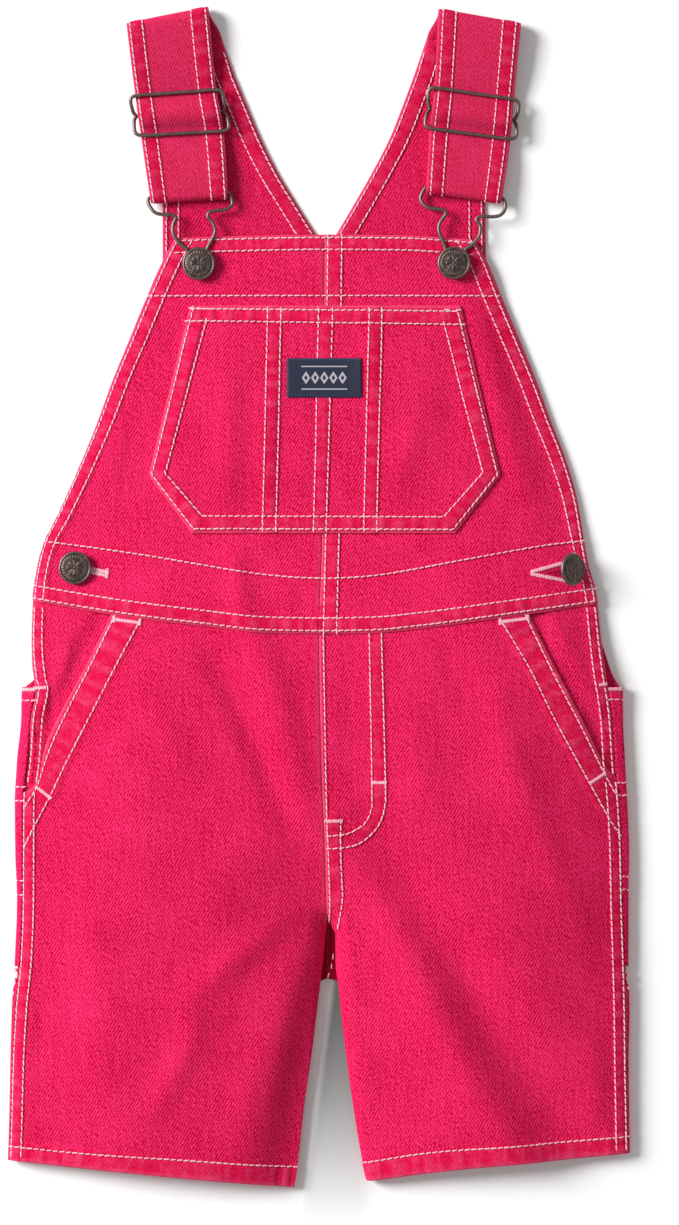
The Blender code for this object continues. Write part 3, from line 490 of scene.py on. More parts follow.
def bib_rows(side):
    left = side < 0
    ys = np.linspace(163.5, 0.0 if left else -1.0, 60)
    edge = 1 if left else 4
    rows = [beside_edge(FRONT_SIDES, edge, side, read(SIDE_ROWS, column, ys), ys)
            for column in (1, 2)]
    centre = 2.6
    for drop in BIB_TOP_ROWS:
        outer = BIB_TOP[0 if left else -1][0] + side * -1.0
        xs = np.linspace(outer, centre, 40)
        rows.append(np.stack((xs, read(BIB_TOP, 1, xs) - drop), axis=1))
    cross_end = read(FRONT_SIDES, edge, BIB_CROSS_Y) - side * 2.0
    rows.append(straight_line(((cross_end, BIB_CROSS_Y), (centre, BIB_CROSS_Y))))
    facing = [point for point in WAIST_FACING if (point[0] - 2.5) * side >= 0]
    rows.append(smooth_line(facing))
    for rise in WAIST_ROWS:
        xs = np.linspace((-130.6 if left else (127.4 if rise > 5 else 126.2)), 1.2, 90)
        rows.append(np.stack((xs, read(WAIST, 1, xs) + rise), axis=1))
    if not left:
        rows += [straight_line(row) for row in CENTRE_ROWS]
    return rows


def front_rows(side):
    left = side < 0
    rows = [smooth_line(row) for row in (SLANT_ROWS_LEFT if left else SLANT_ROWS_RIGHT)]
    ys = np.linspace(-91.0 if left else -86.5, -256.5 if left else -253.5, 110)
    for offset in OUTSEAM_ROWS:
        rows.append(beside_edge(FRONT_SIDES, 2 if left else 3, side, offset, ys))
    rows.append(smooth_line(HEM_ROW_LEFT if left else HEM_ROW_RIGHT))
    if not left:
        rows += [smooth_line(row) for row in FLY_ROWS + CROTCH_ROWS]
    return rows


def side_panel_rows(side):
    ys = np.linspace(-6.0, -84.0 if side < 0 else -80.0, 60)
    return [beside_edge(FRONT_SIDES, 2 if side < 0 else 3, side,
                        read(SIDE_ROWS, column, ys), ys) for column in (1, 2)]


POCKET_CORNERS = (((-58.6, 133.1), (-49.6, 132.5)), ((59.2, 132.3), (64.6, 132.1)))


def pocket_rows():
    rows = [straight_line(row) for row in (POCKET_OUTER_ROW, POCKET_INNER_ROW, POCKET_HEM_ROW)]
    top_y, low_y = POCKET_DOWN_Y
    for number, (top_x, low_x) in enumerate(POCKET_DOWN_ROWS):
        line = straight_line(((top_x, top_y), (low_x, low_y)))
        if number in (2, 3):
            _, _, label_low, label_high = LABEL_BOX
            rows.append(line[line[:, 1] > label_high + 0.4])
            rows.append(line[line[:, 1] < label_low - 0.4])
        else:
            rows.append(line)
    return rows


print("stitch rows on the bib", sum(len(bib_rows(side)) for side in SIDES.values()))
print("stitch rows on its pocket", len(pocket_rows()))

# %% [markdown]
# Turned and sewn cloth is thicker and puckers, because thread shrinks less than denim in the
# wash. A band between two rows is raised, with ripples across it, and each row lies in a
# groove. The same numbers are kept as attributes, which the denim's finish reads: worn
# edges, puckered bands, and grooves that it darkens with painted shade.

# %% Relief of sewn cloth
GROOVE_WIDTH = 0.75
GROOVE_DEPTH = 0.3
EDGE_ROLL = 1.5
EDGE_DROP = 0.75
BAND_RISE = 0.35
PUCKER_RISE = 0.26


def ripple(along, seed):
    """Uneven waves with a length of about 7 mm and a height of about 1."""
    wander = 2.3 * np.sin(along / 13.0 + seed * 1.7) + 1.4 * np.sin(along / 5.3 + seed * 0.9)
    long_wave = 0.6 * np.sin(along / 1.3 + wander) * (0.6 + 0.4 * np.sin(along / 17.0 + seed * 3))
    short_wave = 0.3 * np.sin(along / 0.74 - wander)
    gathered = 0.3 * np.sin(along / 0.38 + wander) * (0.5 + 0.5 * np.sin(along / 19.0 + seed))
    return long_wave + short_wave + gathered


def sewn(x, y, rows, edges, bands):
    """Extra height of the outer face, and how worn, puckered and grooved each point is.

    `rows` are stitch rows, `edges` folded edges, and `bands` pairs of a middle line and the
    half width of the doubled cloth along it."""
    groove = np.zeros(np.shape(x))
    for line in rows:
        distance, _ = measure(line[::3] if len(line) > 12 else line, x, y)
        groove = np.maximum(groove, np.exp(-(distance / GROOVE_WIDTH) ** 2))
    worn = np.zeros(np.shape(x))
    roll = np.zeros(np.shape(x))
    for line in edges:
        distance, _ = measure(line, x, y)
        roll = np.maximum(roll, 1 - rounded(distance, EDGE_ROLL))
        worn = np.maximum(worn, np.exp(-(distance / 1.3) ** 2))
    band = np.zeros(np.shape(x))
    pucker = np.zeros(np.shape(x))
    for seed, (line, half_width) in enumerate(bands):
        distance, along = measure(line, x, y)
        inside = 1 - ease((distance - half_width + 0.6) / 1.4)
        near = 1 - ease((distance - half_width + 0.6) / 5.0)
        band = np.maximum(band, inside)
        waves = ripple(along, seed)
        pucker = np.where(near > 0.02, pucker + waves * (inside * 0.6 + near * 0.4), pucker)
    relief = BAND_RISE * band + PUCKER_RISE * pucker - GROOVE_DEPTH * groove - EDGE_DROP * roll
    return relief, worn, band, groove, pucker


# %% [markdown]
# A panel is a grid of points on its outer face. Rows and columns crowd together near the
# edges, where turned cloth and stitch rows need a fine mesh, and spread out in the middle.
# The builder lays a second grid under the first and closes the rim, so the wall has its
# real thickness. It also writes the thread directions as an attribute, so that the twill
# follows the cloth round a fold.

# %% Building a cloth wall
def spread(start, end, near, far, between):
    """Places from start to end, the last axis: set offsets near each end, even ones between."""
    start, end = np.asarray(start, dtype=float), np.asarray(end, dtype=float)
    way = np.sign(end - start)
    span = np.abs(end - start)
    scale = np.minimum(1.0, 0.9 * span / (near[-1] + far[-1]))
    first = [np.full(span.shape, offset) * scale for offset in near]
    last = [span - offset * scale for offset in reversed(far)]
    low, high = first[-1], last[0]
    middle = [low + (high - low) * share for share in np.linspace(0, 1, between + 2)[1:-1]]
    return [start + way * offset for offset in first + middle + last]


def grain_of(points):
    """Thread directions: millimetres across from the middle column, and along the panel."""
    steps = np.linalg.norm(np.diff(points, axis=1), axis=2)
    travelled = np.concatenate((np.zeros((len(points), 1)), np.cumsum(steps, axis=1)), axis=1)
    middle = points.shape[1] // 2
    across = travelled - travelled[:, middle:middle + 1] + points[:, middle:middle + 1, 0]
    return np.stack((across, points[:, :, 1], np.zeros_like(across)), axis=-1)


def put_in_scene(name, data):
    """A new object at the origin, linked to the scene."""
    made = bpy.data.objects.new(name, data)
    bpy.context.collection.objects.link(made)
    return made


def shell(name, outer, inner, grain, marks):
    """A closed wall between two grids of points in millimetres, with its attributes."""
    rows, columns, _ = outer.shape
    index = np.arange(rows * columns).reshape(rows, columns)
    quads = np.stack((index[:-1, :-1], index[1:, :-1], index[1:, 1:], index[:-1, 1:]), axis=-1)
    top = quads.reshape(-1, 4)
    under = top[:, ::-1] + rows * columns
    rim = np.concatenate((index[0, :-1], index[:-1, -1], index[-1, :0:-1], index[:0:-1, 0]))
    following = np.roll(rim, -1)
    sides = np.stack((rim, following, following + rows * columns, rim + rows * columns), axis=-1)
    faces = np.concatenate((top, under, sides))
    verts = np.concatenate((outer.reshape(-1, 3), inner.reshape(-1, 3))) * MM
    corner = verts[faces]
    volume = np.sum(corner[:, 0] * np.cross(corner[:, 1], corner[:, 2])
                    + corner[:, 0] * np.cross(corner[:, 2], corner[:, 3]))
    if volume < 0:
        faces = faces[:, ::-1]
    mesh = bpy.data.meshes.new(name)
    mesh.from_pydata(verts.tolist(), [], faces.tolist())
    mesh.shade_smooth()
    values = np.tile(grain.reshape(-1, 3), (2, 1)) * MM
    mesh.attributes.new("grain", "FLOAT_VECTOR", "POINT").data.foreach_set("vector", values.ravel())
    for mark, numbers in marks.items():
        numbers = np.concatenate((numbers.ravel(), numbers.ravel()))
        mesh.attributes.new(mark, "FLOAT", "POINT").data.foreach_set("value", numbers)
    print(name, len(faces) * 2, "triangles")
    return put_in_scene(name, mesh)


def wall(name, points, normals, seams, shown=1.0, shaded=0.0):
    """A cloth wall with sewn relief on its outer face. `seams` is (rows, edges, bands), and
    `shown` is 0 where another layer covers the wall and presses it flat."""
    relief, worn, band, groove, pucker = sewn(points[:, :, 0], points[:, :, 1], *seams)
    outer = points + normals * (relief * shown)[..., None]
    marks = {"worn": worn, "band": band, "groove": groove, "pucker": pucker}
    marks["shaded"] = np.zeros_like(worn) + shaded
    return shell(name, outer, points - normals * CLOTH, grain_of(points), marks)


pieces = {}

# %% [markdown]
# The front of each leg is cut away along its slanted pocket opening, laps under the bib at
# the waist and ends at the hem. Its outer edge is the side seam.

# %% Trouser fronts
FRONT_PITCH = 1.5
SEAM_OFFSETS = [0.0, 0.3, 0.7, 1.0, 1.3, 1.7, 2.4, 3.2, 4.0, 4.7, 5.3, 5.6, 5.9, 6.5, 7.5, 8.8,
                10.2, 11.5, 12.6, 13.4, 14.2, 15.2, 16.6]
CENTRE_OFFSETS = [0.0, 0.3, 0.8, 1.3, 1.8, 2.3, 3.0, 4.2, 5.4, 6.5, 7.2, 7.8, 8.4, 9.4, 11.0]
HEM_OFFSETS = [0.0, 0.3, 0.8, 1.5, 2.5, 3.6, 4.7, 5.6, 6.3, 7.0, 7.6, 8.2, 8.8, 9.4, 10.2, 11.4]


def front_leg(side):
    left = side < 0
    slant = SLANT_LEFT if left else SLANT_RIGHT
    hem = HEM_LEFT if left else HEM_RIGHT
    seam_column = 2 if left else 3

    def boundaries(y):
        fold = read(slant, 1, y)
        outer = np.where(y > slant[-1][0], fold, read(FRONT_SIDES, seam_column, y))
        middle = read(CENTRE_FRONT, 1, y) + side * SEAM_GAP / 2
        inner = np.where(y > CROTCH[1], middle, read(LEG_GAP, 1 if left else 2, y))
        return outer, inner

    between = int(70 / FRONT_PITCH)
    tops, lows = (np.array(spread(*boundaries(np.array(y)), SEAM_OFFSETS, CENTRE_OFFSETS, between))
                  for y in (-4.0, -265.0))
    top = read(WAIST, 1, tops) + WAIST_LAP
    low = read(hem, 1, lows)
    rows = spread(top, low, [0.0, 1.0, 2.5], HEM_OFFSETS, int(245 / FRONT_PITCH))
    y = np.stack(rows)
    outer, inner = boundaries(y)
    places = spread(outer, inner, SEAM_OFFSETS, CENTRE_OFFSETS, between)
    x = np.stack([place[:, column] for column, place in enumerate(places)], axis=1)
    points = np.stack((x, y, top_height(x, y)), axis=-1)
    normals = surface_normals(x, y)
    if not left:
        points, normals = points[:, ::-1], normals[:, ::-1]
    ys = np.linspace(-93.0, -275.0, 60)
    fold = smooth_line([(row[1], row[0]) for row in slant])
    seam = beside_edge(FRONT_SIDES, seam_column, side, 0.0, ys)
    hem_line = smooth_line(hem)
    middle = np.linspace(-16.0, -150.0, 40)
    centre = np.stack((read(CENTRE_FRONT, 1, middle), middle), axis=1)
    stitch_rows = front_rows(side)
    outer_row, inner_row = SLANT_ROWS_LEFT if left else SLANT_ROWS_RIGHT
    slant_middle = smooth_line((np.array(outer_row[:5]) + np.array(inner_row[:5])) / 2)
    bands = [(slant_middle, 6.5), (seam + np.array((-side * 3.3, 0.0)), 2.6),
             (smooth_line(hem) + np.array((0.0, 4.4)), 4.6)]
    if not left:
        bands.append(((np.array(FLY_ROWS[0][:5]) + np.array(FLY_ROWS[1][:5])) / 2, 3.2))
        bands.append((np.array(CROTCH_ROWS[1][:5]) - np.array((3.3, 0.0)), 3.2))
    return wall("front_cloth_" + side_word(side), points, normals,
                (stitch_rows, [fold, seam, hem_line, centre], bands),
                shown=ease((read(WAIST, 1, points[:, :, 0]) + 1.2 - points[:, :, 1]) / 2.0))


for side_name, side in SIDES.items():
    pieces["front_" + side_name] = front_leg(side)

# %% [markdown]
# Behind each slanted opening is a small panel, sewn into the side opening. It slips under
# the front, so it lies one cloth lower there.

# %% Side panels
def side_panel(side):
    left = side < 0
    slant = SLANT_LEFT if left else SLANT_RIGHT
    seam_column = 2 if left else 3
    bottom = slant[-1][0] + 1
    across = np.array([0.0, 0.008, 0.02, 0.035, 0.05, 0.07] + list(np.linspace(0.1, 1.0, 26)))
    share = np.linspace(0, 1, 56)[:, None]
    y_top = read(WAIST, 1, side * (SIDE_X - SIDE_PANEL_WIDTH * across)) + WAIST_LAP
    y = y_top + (bottom - y_top) * share
    outer = read(FRONT_SIDES, seam_column, y) - side * SIDE_SEAM_GAP
    fold = read(slant, 1, np.maximum(y, slant[-2][0]))
    x = outer + (fold - side * SLANT_LAP - outer) * across
    depth = UNDER_LAYER + (SIDE_SEAM_GAP - UNDER_LAYER) * ease((side * (x - read(slant, 1, y)) - 4) / 8)
    normals = surface_normals(x, y)
    points = np.stack((x, y, top_height(x, y)), axis=-1) - normals * depth[..., None]
    if not left:
        points, normals = points[:, ::-1], normals[:, ::-1]
    ys = np.linspace(0.0, -95.0, 40)
    edge = beside_edge(FRONT_SIDES, seam_column, side, 0.0, ys)
    rows = side_panel_rows(side)
    band = ((rows[0] + rows[1]) / 2, 2.6)
    return wall("side_panel_cloth_" + side_word(side), points, normals,
                (rows, [edge], [band]))


for side_name, side in SIDES.items():
    pieces["side_panel_" + side_name] = side_panel(side)

# %% [markdown]
# The bib and the waist part below it are one panel on each side of the centre seam. Its
# folded lower edge laps over the trousers, so it lies one cloth higher.

# %% Bib
BIB_PITCH = 1.45
BIB_SIDE_OFFSETS = [0.0, 0.3, 0.7, 1.1, 1.5, 1.9, 2.4, 3.0, 3.9, 4.8, 5.6, 6.3, 7.0, 7.7, 8.3,
                    9.0, 10.0, 11.4]
BIB_CENTRE_OFFSETS = [0.0, 0.4, 0.9, 1.4, 1.9, 2.5, 3.6, 4.8, 6.0, 7.0, 7.6, 8.2, 9.0, 10.4]
BIB_TOP_OFFSETS = [0.0, 0.3, 0.8, 1.3, 1.8, 2.5, 3.6, 4.8, 6.0, 6.7, 7.2, 7.8, 8.8, 10.2]
BIB_LOW_OFFSETS = [0.0, 0.3, 0.8, 1.3, 1.8, 2.4, 3.4, 4.6, 5.8, 6.7, 7.2, 7.8, 8.8, 10.2]


def buttonhole_shade(x, y):
    """Painted shade in the dark slit of the open right buttonhole, widest at its button."""
    share = np.clip((x - 102.0) / 10.0, 0, 1)
    return 0.85 * (x < 116) * (x > 101) * np.exp(-((y - 11.2) / (0.3 + 1.6 * share)) ** 2)


def beside_pocket(x, y):
    """0 where the bib pocket covers the bib, 1 outside it."""
    low, high = BIB_POCKET[-1][0], BIB_POCKET[0][0]
    left, right = pocket_sides(y)
    depth = np.minimum(np.minimum(x - left, right - x), np.minimum(y - low, high - y))
    return 1 - ease((depth + 0.8) / 1.6)


def bib_half(side):
    left = side < 0
    edge_column = 1 if left else 4
    end = 0 if left else -1
    between = int(88 / BIB_PITCH)
    corners = ((BIB_TOP[end][0], CENTRE_FRONT[0][1]), (WAIST[end][0], CENTRE_FRONT[2][1]))
    top_places, low_places = (
        np.array(spread(start, middle, BIB_SIDE_OFFSETS, BIB_CENTRE_OFFSETS, between))
        for start, middle in corners)
    rows = spread(read(BIB_TOP, 1, top_places), read(WAIST, 1, low_places), BIB_TOP_OFFSETS,
                  BIB_LOW_OFFSETS, int(160 / BIB_PITCH))
    y = np.stack(rows)
    outer = read(FRONT_SIDES, edge_column, y)
    inner = read(CENTRE_FRONT, 1, y) + side * SEAM_GAP / 2
    places = spread(outer, inner, BIB_SIDE_OFFSETS, BIB_CENTRE_OFFSETS, between)
    x = np.stack([place[:, column] for column, place in enumerate(places)], axis=1)
    points = np.stack((x, y, top_height(x, y) + bib_lift(x, y)), axis=-1)
    normals = surface_normals(x, y)
    if not left:
        points, normals = points[:, ::-1], normals[:, ::-1]
    ys = np.linspace(166.0, -2.0, 70)
    side_edge = beside_edge(FRONT_SIDES, edge_column, side, 0.0, ys)
    xs = np.linspace(BIB_TOP[end][0], 2.0, 30)
    top_edge = np.stack((xs, read(BIB_TOP, 1, xs)), axis=1)
    xs = np.linspace(WAIST[end][0], 1.0, 50)
    low_edge = np.stack((xs, read(WAIST, 1, xs)), axis=1)
    centre = np.stack((read(CENTRE_FRONT, 1, ys), ys), axis=1)
    rows = bib_rows(side)
    bands = [((rows[0] + rows[1]) / 2, 3.4), ((rows[2] + rows[3]) / 2, 3.0),
             ((rows[6] + rows[7]) / 2, 3.2)]
    if not left:
        bands.append(((rows[8][::4] + rows[9][::4]) / 2, 3.2))
    return wall("bib_cloth_" + side_word(side), points, normals,
                (rows, [side_edge, top_edge, low_edge, centre], bands),
                shown=beside_pocket(points[:, :, 0], points[:, :, 1]),
                shaded=0.0 if left else buttonhole_shade(x[:, ::-1], y[:, ::-1]))


for side_name, side in SIDES.items():
    pieces["bib_" + side_name] = bib_half(side)

# %% [markdown]
# The bib pocket is a patch with six corners. Its upper edge is turned twice, and three pairs
# of rows run down it. Its edges are folded under, so they are worn paler.

# %% Bib pocket
def bib_pocket():
    ys = np.array(spread(BIB_POCKET[0][0], BIB_POCKET[-1][0], BIB_TOP_OFFSETS, BIB_LOW_OFFSETS, 72))
    left, right = pocket_sides(ys)
    x = np.stack(spread(left, right, BIB_SIDE_OFFSETS, BIB_SIDE_OFFSETS, 100), axis=1)
    y = np.repeat(ys[:, None], x.shape[1], axis=1)
    normals = surface_normals(x, y)
    points = np.stack((x, y, top_height(x, y) + BIB_LIFT), axis=-1)
    points = points + normals * pocket_lift(x, y)[..., None]
    rows = pocket_rows()
    hem = straight_line(((-57.0, 130.0), (64.0, 128.6)))
    sides = straight_line(
        ((-57.0, 126.0), (-73.4, 56.6), (-56.0, 34.2), (59.6, 33.8), (79.0, 56.8), (62.0, 126.0)))
    top_y, low_y = POCKET_DOWN_Y
    pairs = [straight_line((((a + c) / 2, top_y), ((b + d) / 2, low_y)))
             for (a, b), (c, d) in zip(POCKET_DOWN_ROWS[::2], POCKET_DOWN_ROWS[1::2])]
    bands = [(hem, 3.0), (sides, 3.2)] + [(pair, 2.9) for pair in pairs]
    return wall("bib_pocket_cloth", points, normals, (rows, [np.array(POCKET_OUTLINE)], bands))


pieces["bib_pocket"] = bib_pocket()

# %% [markdown]
# The backs are hidden but for the part that wraps round the side up to the seam. Each is cut
# as a path across the leg: up the side, round the fold, and flat along the floor.

# %% The path across a back
UNDER_COLUMNS = 46
CLIMB_TOP = -42.4
CLIMB_LENGTH = 3.0
# Columns: y, outer edge of the left back and of the right back above the tool pockets
BACK_SHOULDER = (
    (-12.0, 128.0, 125.5), (-20.0, 129.0, 130.6), (-28.0, 129.8, 133.4), (-36.5, 130.8, 136.4),
    (-42.4, 136.8, 140.0),
)


def under_path(side, y, climb):
    """Outer face of the back of one leg across its width at y, and its normals."""
    left = side < 0
    edge = abs(float(read(FRONT_SIDES, 1 if left else 4, y)))
    seam = min(abs(float(read(FRONT_SIDES, 2 if left else 3, y))) + SIDE_SEAM_GAP, edge - 0.1)
    rim = float(read(HEIGHTS, 1, y))
    xs = np.array([seam - 1.2] + list(np.linspace(seam, edge, 12)[:-1]))
    heights = top_height(side * xs, np.full(len(xs), y))
    turn = np.radians(np.linspace(0, 90, 14))
    wrap_x = np.concatenate((xs, edge - UNDER_FOLD_REACH * (1 - np.cos(turn))))
    wrap_z = np.concatenate((heights, rim * (1 - np.sin(turn))))
    travelled = np.concatenate(((0.0,), np.cumsum(np.hypot(np.diff(wrap_x), np.diff(wrap_z)))))
    start = travelled[-1] + (travelled[1] - travelled[-1]) * climb
    places = np.concatenate(((start - travelled[1],), np.linspace(start, travelled[-1], 16)))
    xs = np.interp(places, travelled, wrap_x)
    zs = np.interp(places, travelled, wrap_z)
    if climb == 0:
        tucked = float(read(BACK_SHOULDER, 1 if left else 2, y))
        xs = np.linspace(tucked, tucked - 8, 17)
        zs = np.zeros(17)
    if y > BACK_CROTCH_Y:
        inner = side * (CENTRE_BACK_X + side * SEAM_GAP / 2)
        curl = 0.0
    else:
        inner = side * float(read(LEG_GAP, 1 if left else 2, y))
        curl = (float(read(LEG_GAP, 3, y)) - SEAM_GAP) * float(ease((BACK_CROTCH_Y - y) / 9))
    reach = min(UNDER_FOLD_REACH, 2 * curl) + 0.5
    turn = np.radians((90, 75, 60, 45, 30, 15, 0))
    end_x = inner + reach * (1 - np.cos(turn))
    end_z = curl * (1 - np.sin(turn))
    flat = np.linspace(xs[-1], end_x[0], UNDER_COLUMNS + 2)[1:-1]
    if curl > 0:
        last = (end_x[-2], 2 * curl - end_z[-2])
    else:
        last = (inner - 1, 0.0)
    path_x = np.concatenate((xs, flat, end_x, last[:1]))
    path_z = np.concatenate((zs, np.zeros(len(flat)), end_z, last[1:]))
    path = np.stack((path_x, path_z), axis=1)
    tangents = np.gradient(path, axis=0)
    tangents /= np.linalg.norm(tangents, axis=1, keepdims=True)
    normals = np.stack((-tangents[:, 1] * side, tangents[:, 0]), axis=1)
    path[:, 0] *= side
    return np.concatenate((path[1:-1], normals[1:-1]), axis=1)


print("under side has", len(under_path(-1, -100.0, 1.0)), "places across a leg")

# %% [markdown]
# A back is a stack of such paths from the waist to the hem. Where a tool pocket lies under
# it, it is lifted by the pocket's thickness, with a soft step all round.

# %% Backs
def pocket_cover(x, y):
    """1 where a tool pocket lies under the back, 0 a short step away from it."""
    beyond_top = ease((y - TOOL_POCKET_TOP - 4) / TOOL_POCKET_STEP)
    beyond_bottom = ease((TOOL_POCKET_BOTTOM - 5 - y) / TOOL_POCKET_STEP)
    beside = ease((TOOL_POCKET_INNER - 1 - np.abs(x)) / TOOL_POCKET_STEP)
    return (1 - beyond_top) * (1 - beyond_bottom) * (1 - beside)


def back_leg(side):
    left = side < 0
    hem = HEM_LEFT if left else HEM_RIGHT
    levels = np.concatenate((np.arange(BACK_WAIST_Y, -36.0, -2.0), np.arange(-36.0, -48.0, -0.75),
                             np.arange(-48.0, -174.0, -3.0), np.arange(-174.0, -190.0, -1.0),
                             np.arange(-190.0, -276.0, -3.0)))
    paths = np.array([under_path(side, y, float(ease((CLIMB_TOP - y) / CLIMB_LENGTH))) for y in levels])
    upper = levels[levels > -196.0]
    last = upper[-1]
    hem_y = read(hem, 1, paths[-1, :, 0])
    shares = np.linspace(0, 1, 30)[1:]
    y = np.concatenate((np.repeat(upper[:, None], paths.shape[1], axis=1),
                        last + (hem_y - last) * shares[:, None]))
    x, z, normal_x, normal_z = (
        np.stack([np.interp(-y[:, column], -levels, paths[:, column, part])
                  for column in range(paths.shape[1])], axis=1) for part in range(4))
    normals = np.stack((normal_x, np.zeros_like(normal_x), normal_z), axis=-1)
    normals /= np.linalg.norm(normals, axis=-1, keepdims=True)
    raised = np.stack((x, y, z), axis=-1) - normals * (TOOL_POCKET_LIFT * pocket_cover(x, y))[..., None]
    marks = {mark: np.zeros_like(x) for mark in ("worn", "band", "groove", "pucker")}
    marks["worn"][-2:] = 0.8
    marks["worn"][:, 0] = 0.7
    # Painted shade: the back is darkened toward the shaded pink where it shows between the legs at the
    # crotch.
    marks["shaded"] = np.exp(-(((x - 5.0) / 12.0) ** 2 + ((y + 170.0) / 28.0) ** 2) ** 2)
    name = "back_cloth_" + side_word(side)
    return shell(name, raised, raised - normals * CLOTH, grain_of(raised), marks)


print("a back steps over", TOOL_POCKET_TOP - TOOL_POCKET_BOTTOM, "mm of tool pocket")

# %% [markdown]
# A tool pocket is a patch on the back that reaches round the side fold. It takes the outer
# part of the same paths, so it follows the fold exactly.

# %% Tool pockets
def tool_pocket(side):
    ys = np.linspace(TOOL_POCKET_TOP, TOOL_POCKET_BOTTOM, 72)
    paths = np.array([under_path(side, y, 1.0) for y in ys])
    kept = paths[:, :, 0] * side > TOOL_POCKET_INNER
    columns = int(np.min(np.sum(kept, axis=1)))
    paths = paths[:, :columns]
    y = np.repeat(ys[:, None], columns, axis=1)
    points = np.stack((paths[:, :, 0], y, paths[:, :, 1]), axis=-1)
    normals = np.stack((paths[:, :, 2], np.zeros_like(y), paths[:, :, 3]), axis=-1)
    marks = {mark: np.zeros_like(y) for mark in ("band", "groove", "pucker")}
    marks["worn"] = np.repeat(np.exp(-((ys - TOOL_POCKET_TOP) / 1.6) ** 2)[:, None], columns, axis=1)
    marks["worn"][:, 8:14] = np.maximum(marks["worn"][:, 8:14], 0.35)
    name = "tool_pocket_cloth_" + side_word(side)
    return shell(name, points, points - normals * CLOTH, grain_of(points), marks), points, normals


tool_pocket_faces = {}
for side_name, side in SIDES.items():
    pieces["back_" + side_name] = back_leg(side)
    pieces["tool_pocket_" + side_name], points, normals = tool_pocket(side)
    tool_pocket_faces[side_name] = (points, normals)

# %% [markdown]
# Each shoulder strap is one flat ribbon. It starts at the bodice, folds over at the
# shoulder, dips under the slide's outer bars and over its middle one, goes round the bar of
# the clasp and comes back under itself to the slide. Its route is a list of heights along
# its own length, and the ribbon follows the route smoothly.

# %% Strap sizes
STRAP_THICKNESS = 1.4
STRAP_WIDTH = 38.0
SLIDE_TOP_BAR = 35.3
SLIDE_MIDDLE_BAR = 45.2
SLIDE_LOWER_BAR = 54.9
SLIDE_BAR_Z = 5.8
SLIDE_MIDDLE_Z = 4.0
CLASP_BAR = 83.4
CLASP_BAR_Z = 4.0
STRAP_LOOP_RADIUS = 1.8
SHOULDER_FOLD_RADIUS = 3.05
STRAP_SEAM = 14.0
# Painted shade: how far the whole strap is darkened toward the shaded pink
STRAP_SHADE = 0.26
SHOULDER_WIDENING = 4.6
# Columns: along, left x, y, right x, y
STRAPS = {
    "left": ((0.0, -88.5, 264.7, -50.8, 272.3), (35.3, -84.4, 230.9, -46.9, 233.6),
             (54.9, -81.8, 212.5, -43.6, 214.6), (86.0, -77.2, 181.2, -41.6, 183.5)),
    "right": ((0.0, 55.3, 271.3, 93.3, 264.7), (35.3, 53.4, 234.6, 90.0, 229.2),
              (54.9, 51.4, 215.8, 88.4, 210.9), (86.0, 49.6, 186.0, 84.2, 181.2)),
}
# Places of the four stitch rows across each strap, 0 at its left edge and 1 at its right
STRAP_ROWS = {"left": (0.04, 0.195, 0.775, 0.955), "right": (0.05, 0.21, 0.79, 0.95)}


print("strap is", STRAP_WIDTH, "mm wide and", STRAP_THICKNESS, "mm thick")

# %% [markdown]
# The route is drawn in the strap's own side view, as places along it and heights. Then the
# strap's corners, listed above, say where each place is on the table.

# %% Strap route
def strap_points(table, along, across, z):
    """Points of a strap from their places along it and across it, 0 left and 1 right."""
    x0, y0, x1, y1 = (read(table, column, along) for column in (1, 2, 3, 4))
    return np.stack(np.broadcast_arrays(x0 + (x1 - x0) * across, y0 + (y1 - y0) * across, z), axis=-1)


def arc(centre, radius, start, end, count):
    angles = np.radians(np.linspace(start, end, count))
    return [(centre[0] + radius * math.cos(angle), centre[1] + radius * math.sin(angle))
            for angle in angles]


def strap_route():
    """Middle line of a strap from the shoulder seam to its end. Columns: along, z."""
    half = STRAP_THICKNESS / 2
    fold = (half + SHOULDER_FOLD_RADIUS, half + SHOULDER_FOLD_RADIUS)
    route = [(STRAP_SEAM - 0.5, half), (8.0, half)]
    route += arc(fold, SHOULDER_FOLD_RADIUS, 270, 90, 8)
    route += [(12.0, 6.6), (22.0, 5.8), (30.0, 4.5), (SLIDE_TOP_BAR, 3.9), (38.6, 4.7),
              (41.0, 6.3), (42.8, 7.3), (SLIDE_MIDDLE_BAR, 7.7), (47.6, 7.3), (49.6, 6.2),
              (52.0, 4.6), (SLIDE_LOWER_BAR, 3.9), (59.0, 4.2), (67.0, 5.2), (75.0, 5.8)]
    route += arc((CLASP_BAR, CLASP_BAR_Z), STRAP_LOOP_RADIUS, 90, -90, 7)
    route += [(75.0, 2.2), (60.0, 2.2), (50.0, 2.2)]
    route += arc((SLIDE_MIDDLE_BAR, SLIDE_MIDDLE_Z), STRAP_LOOP_RADIUS, 270, 80, 7)
    return smooth_line(route, 1.3)


print("strap route has", len(strap_route()), "points")

# %% [markdown]
# The ribbon gets two faces, half its thickness to each side of the route, and the same
# grooves, raised bands and worn edges as the panels.

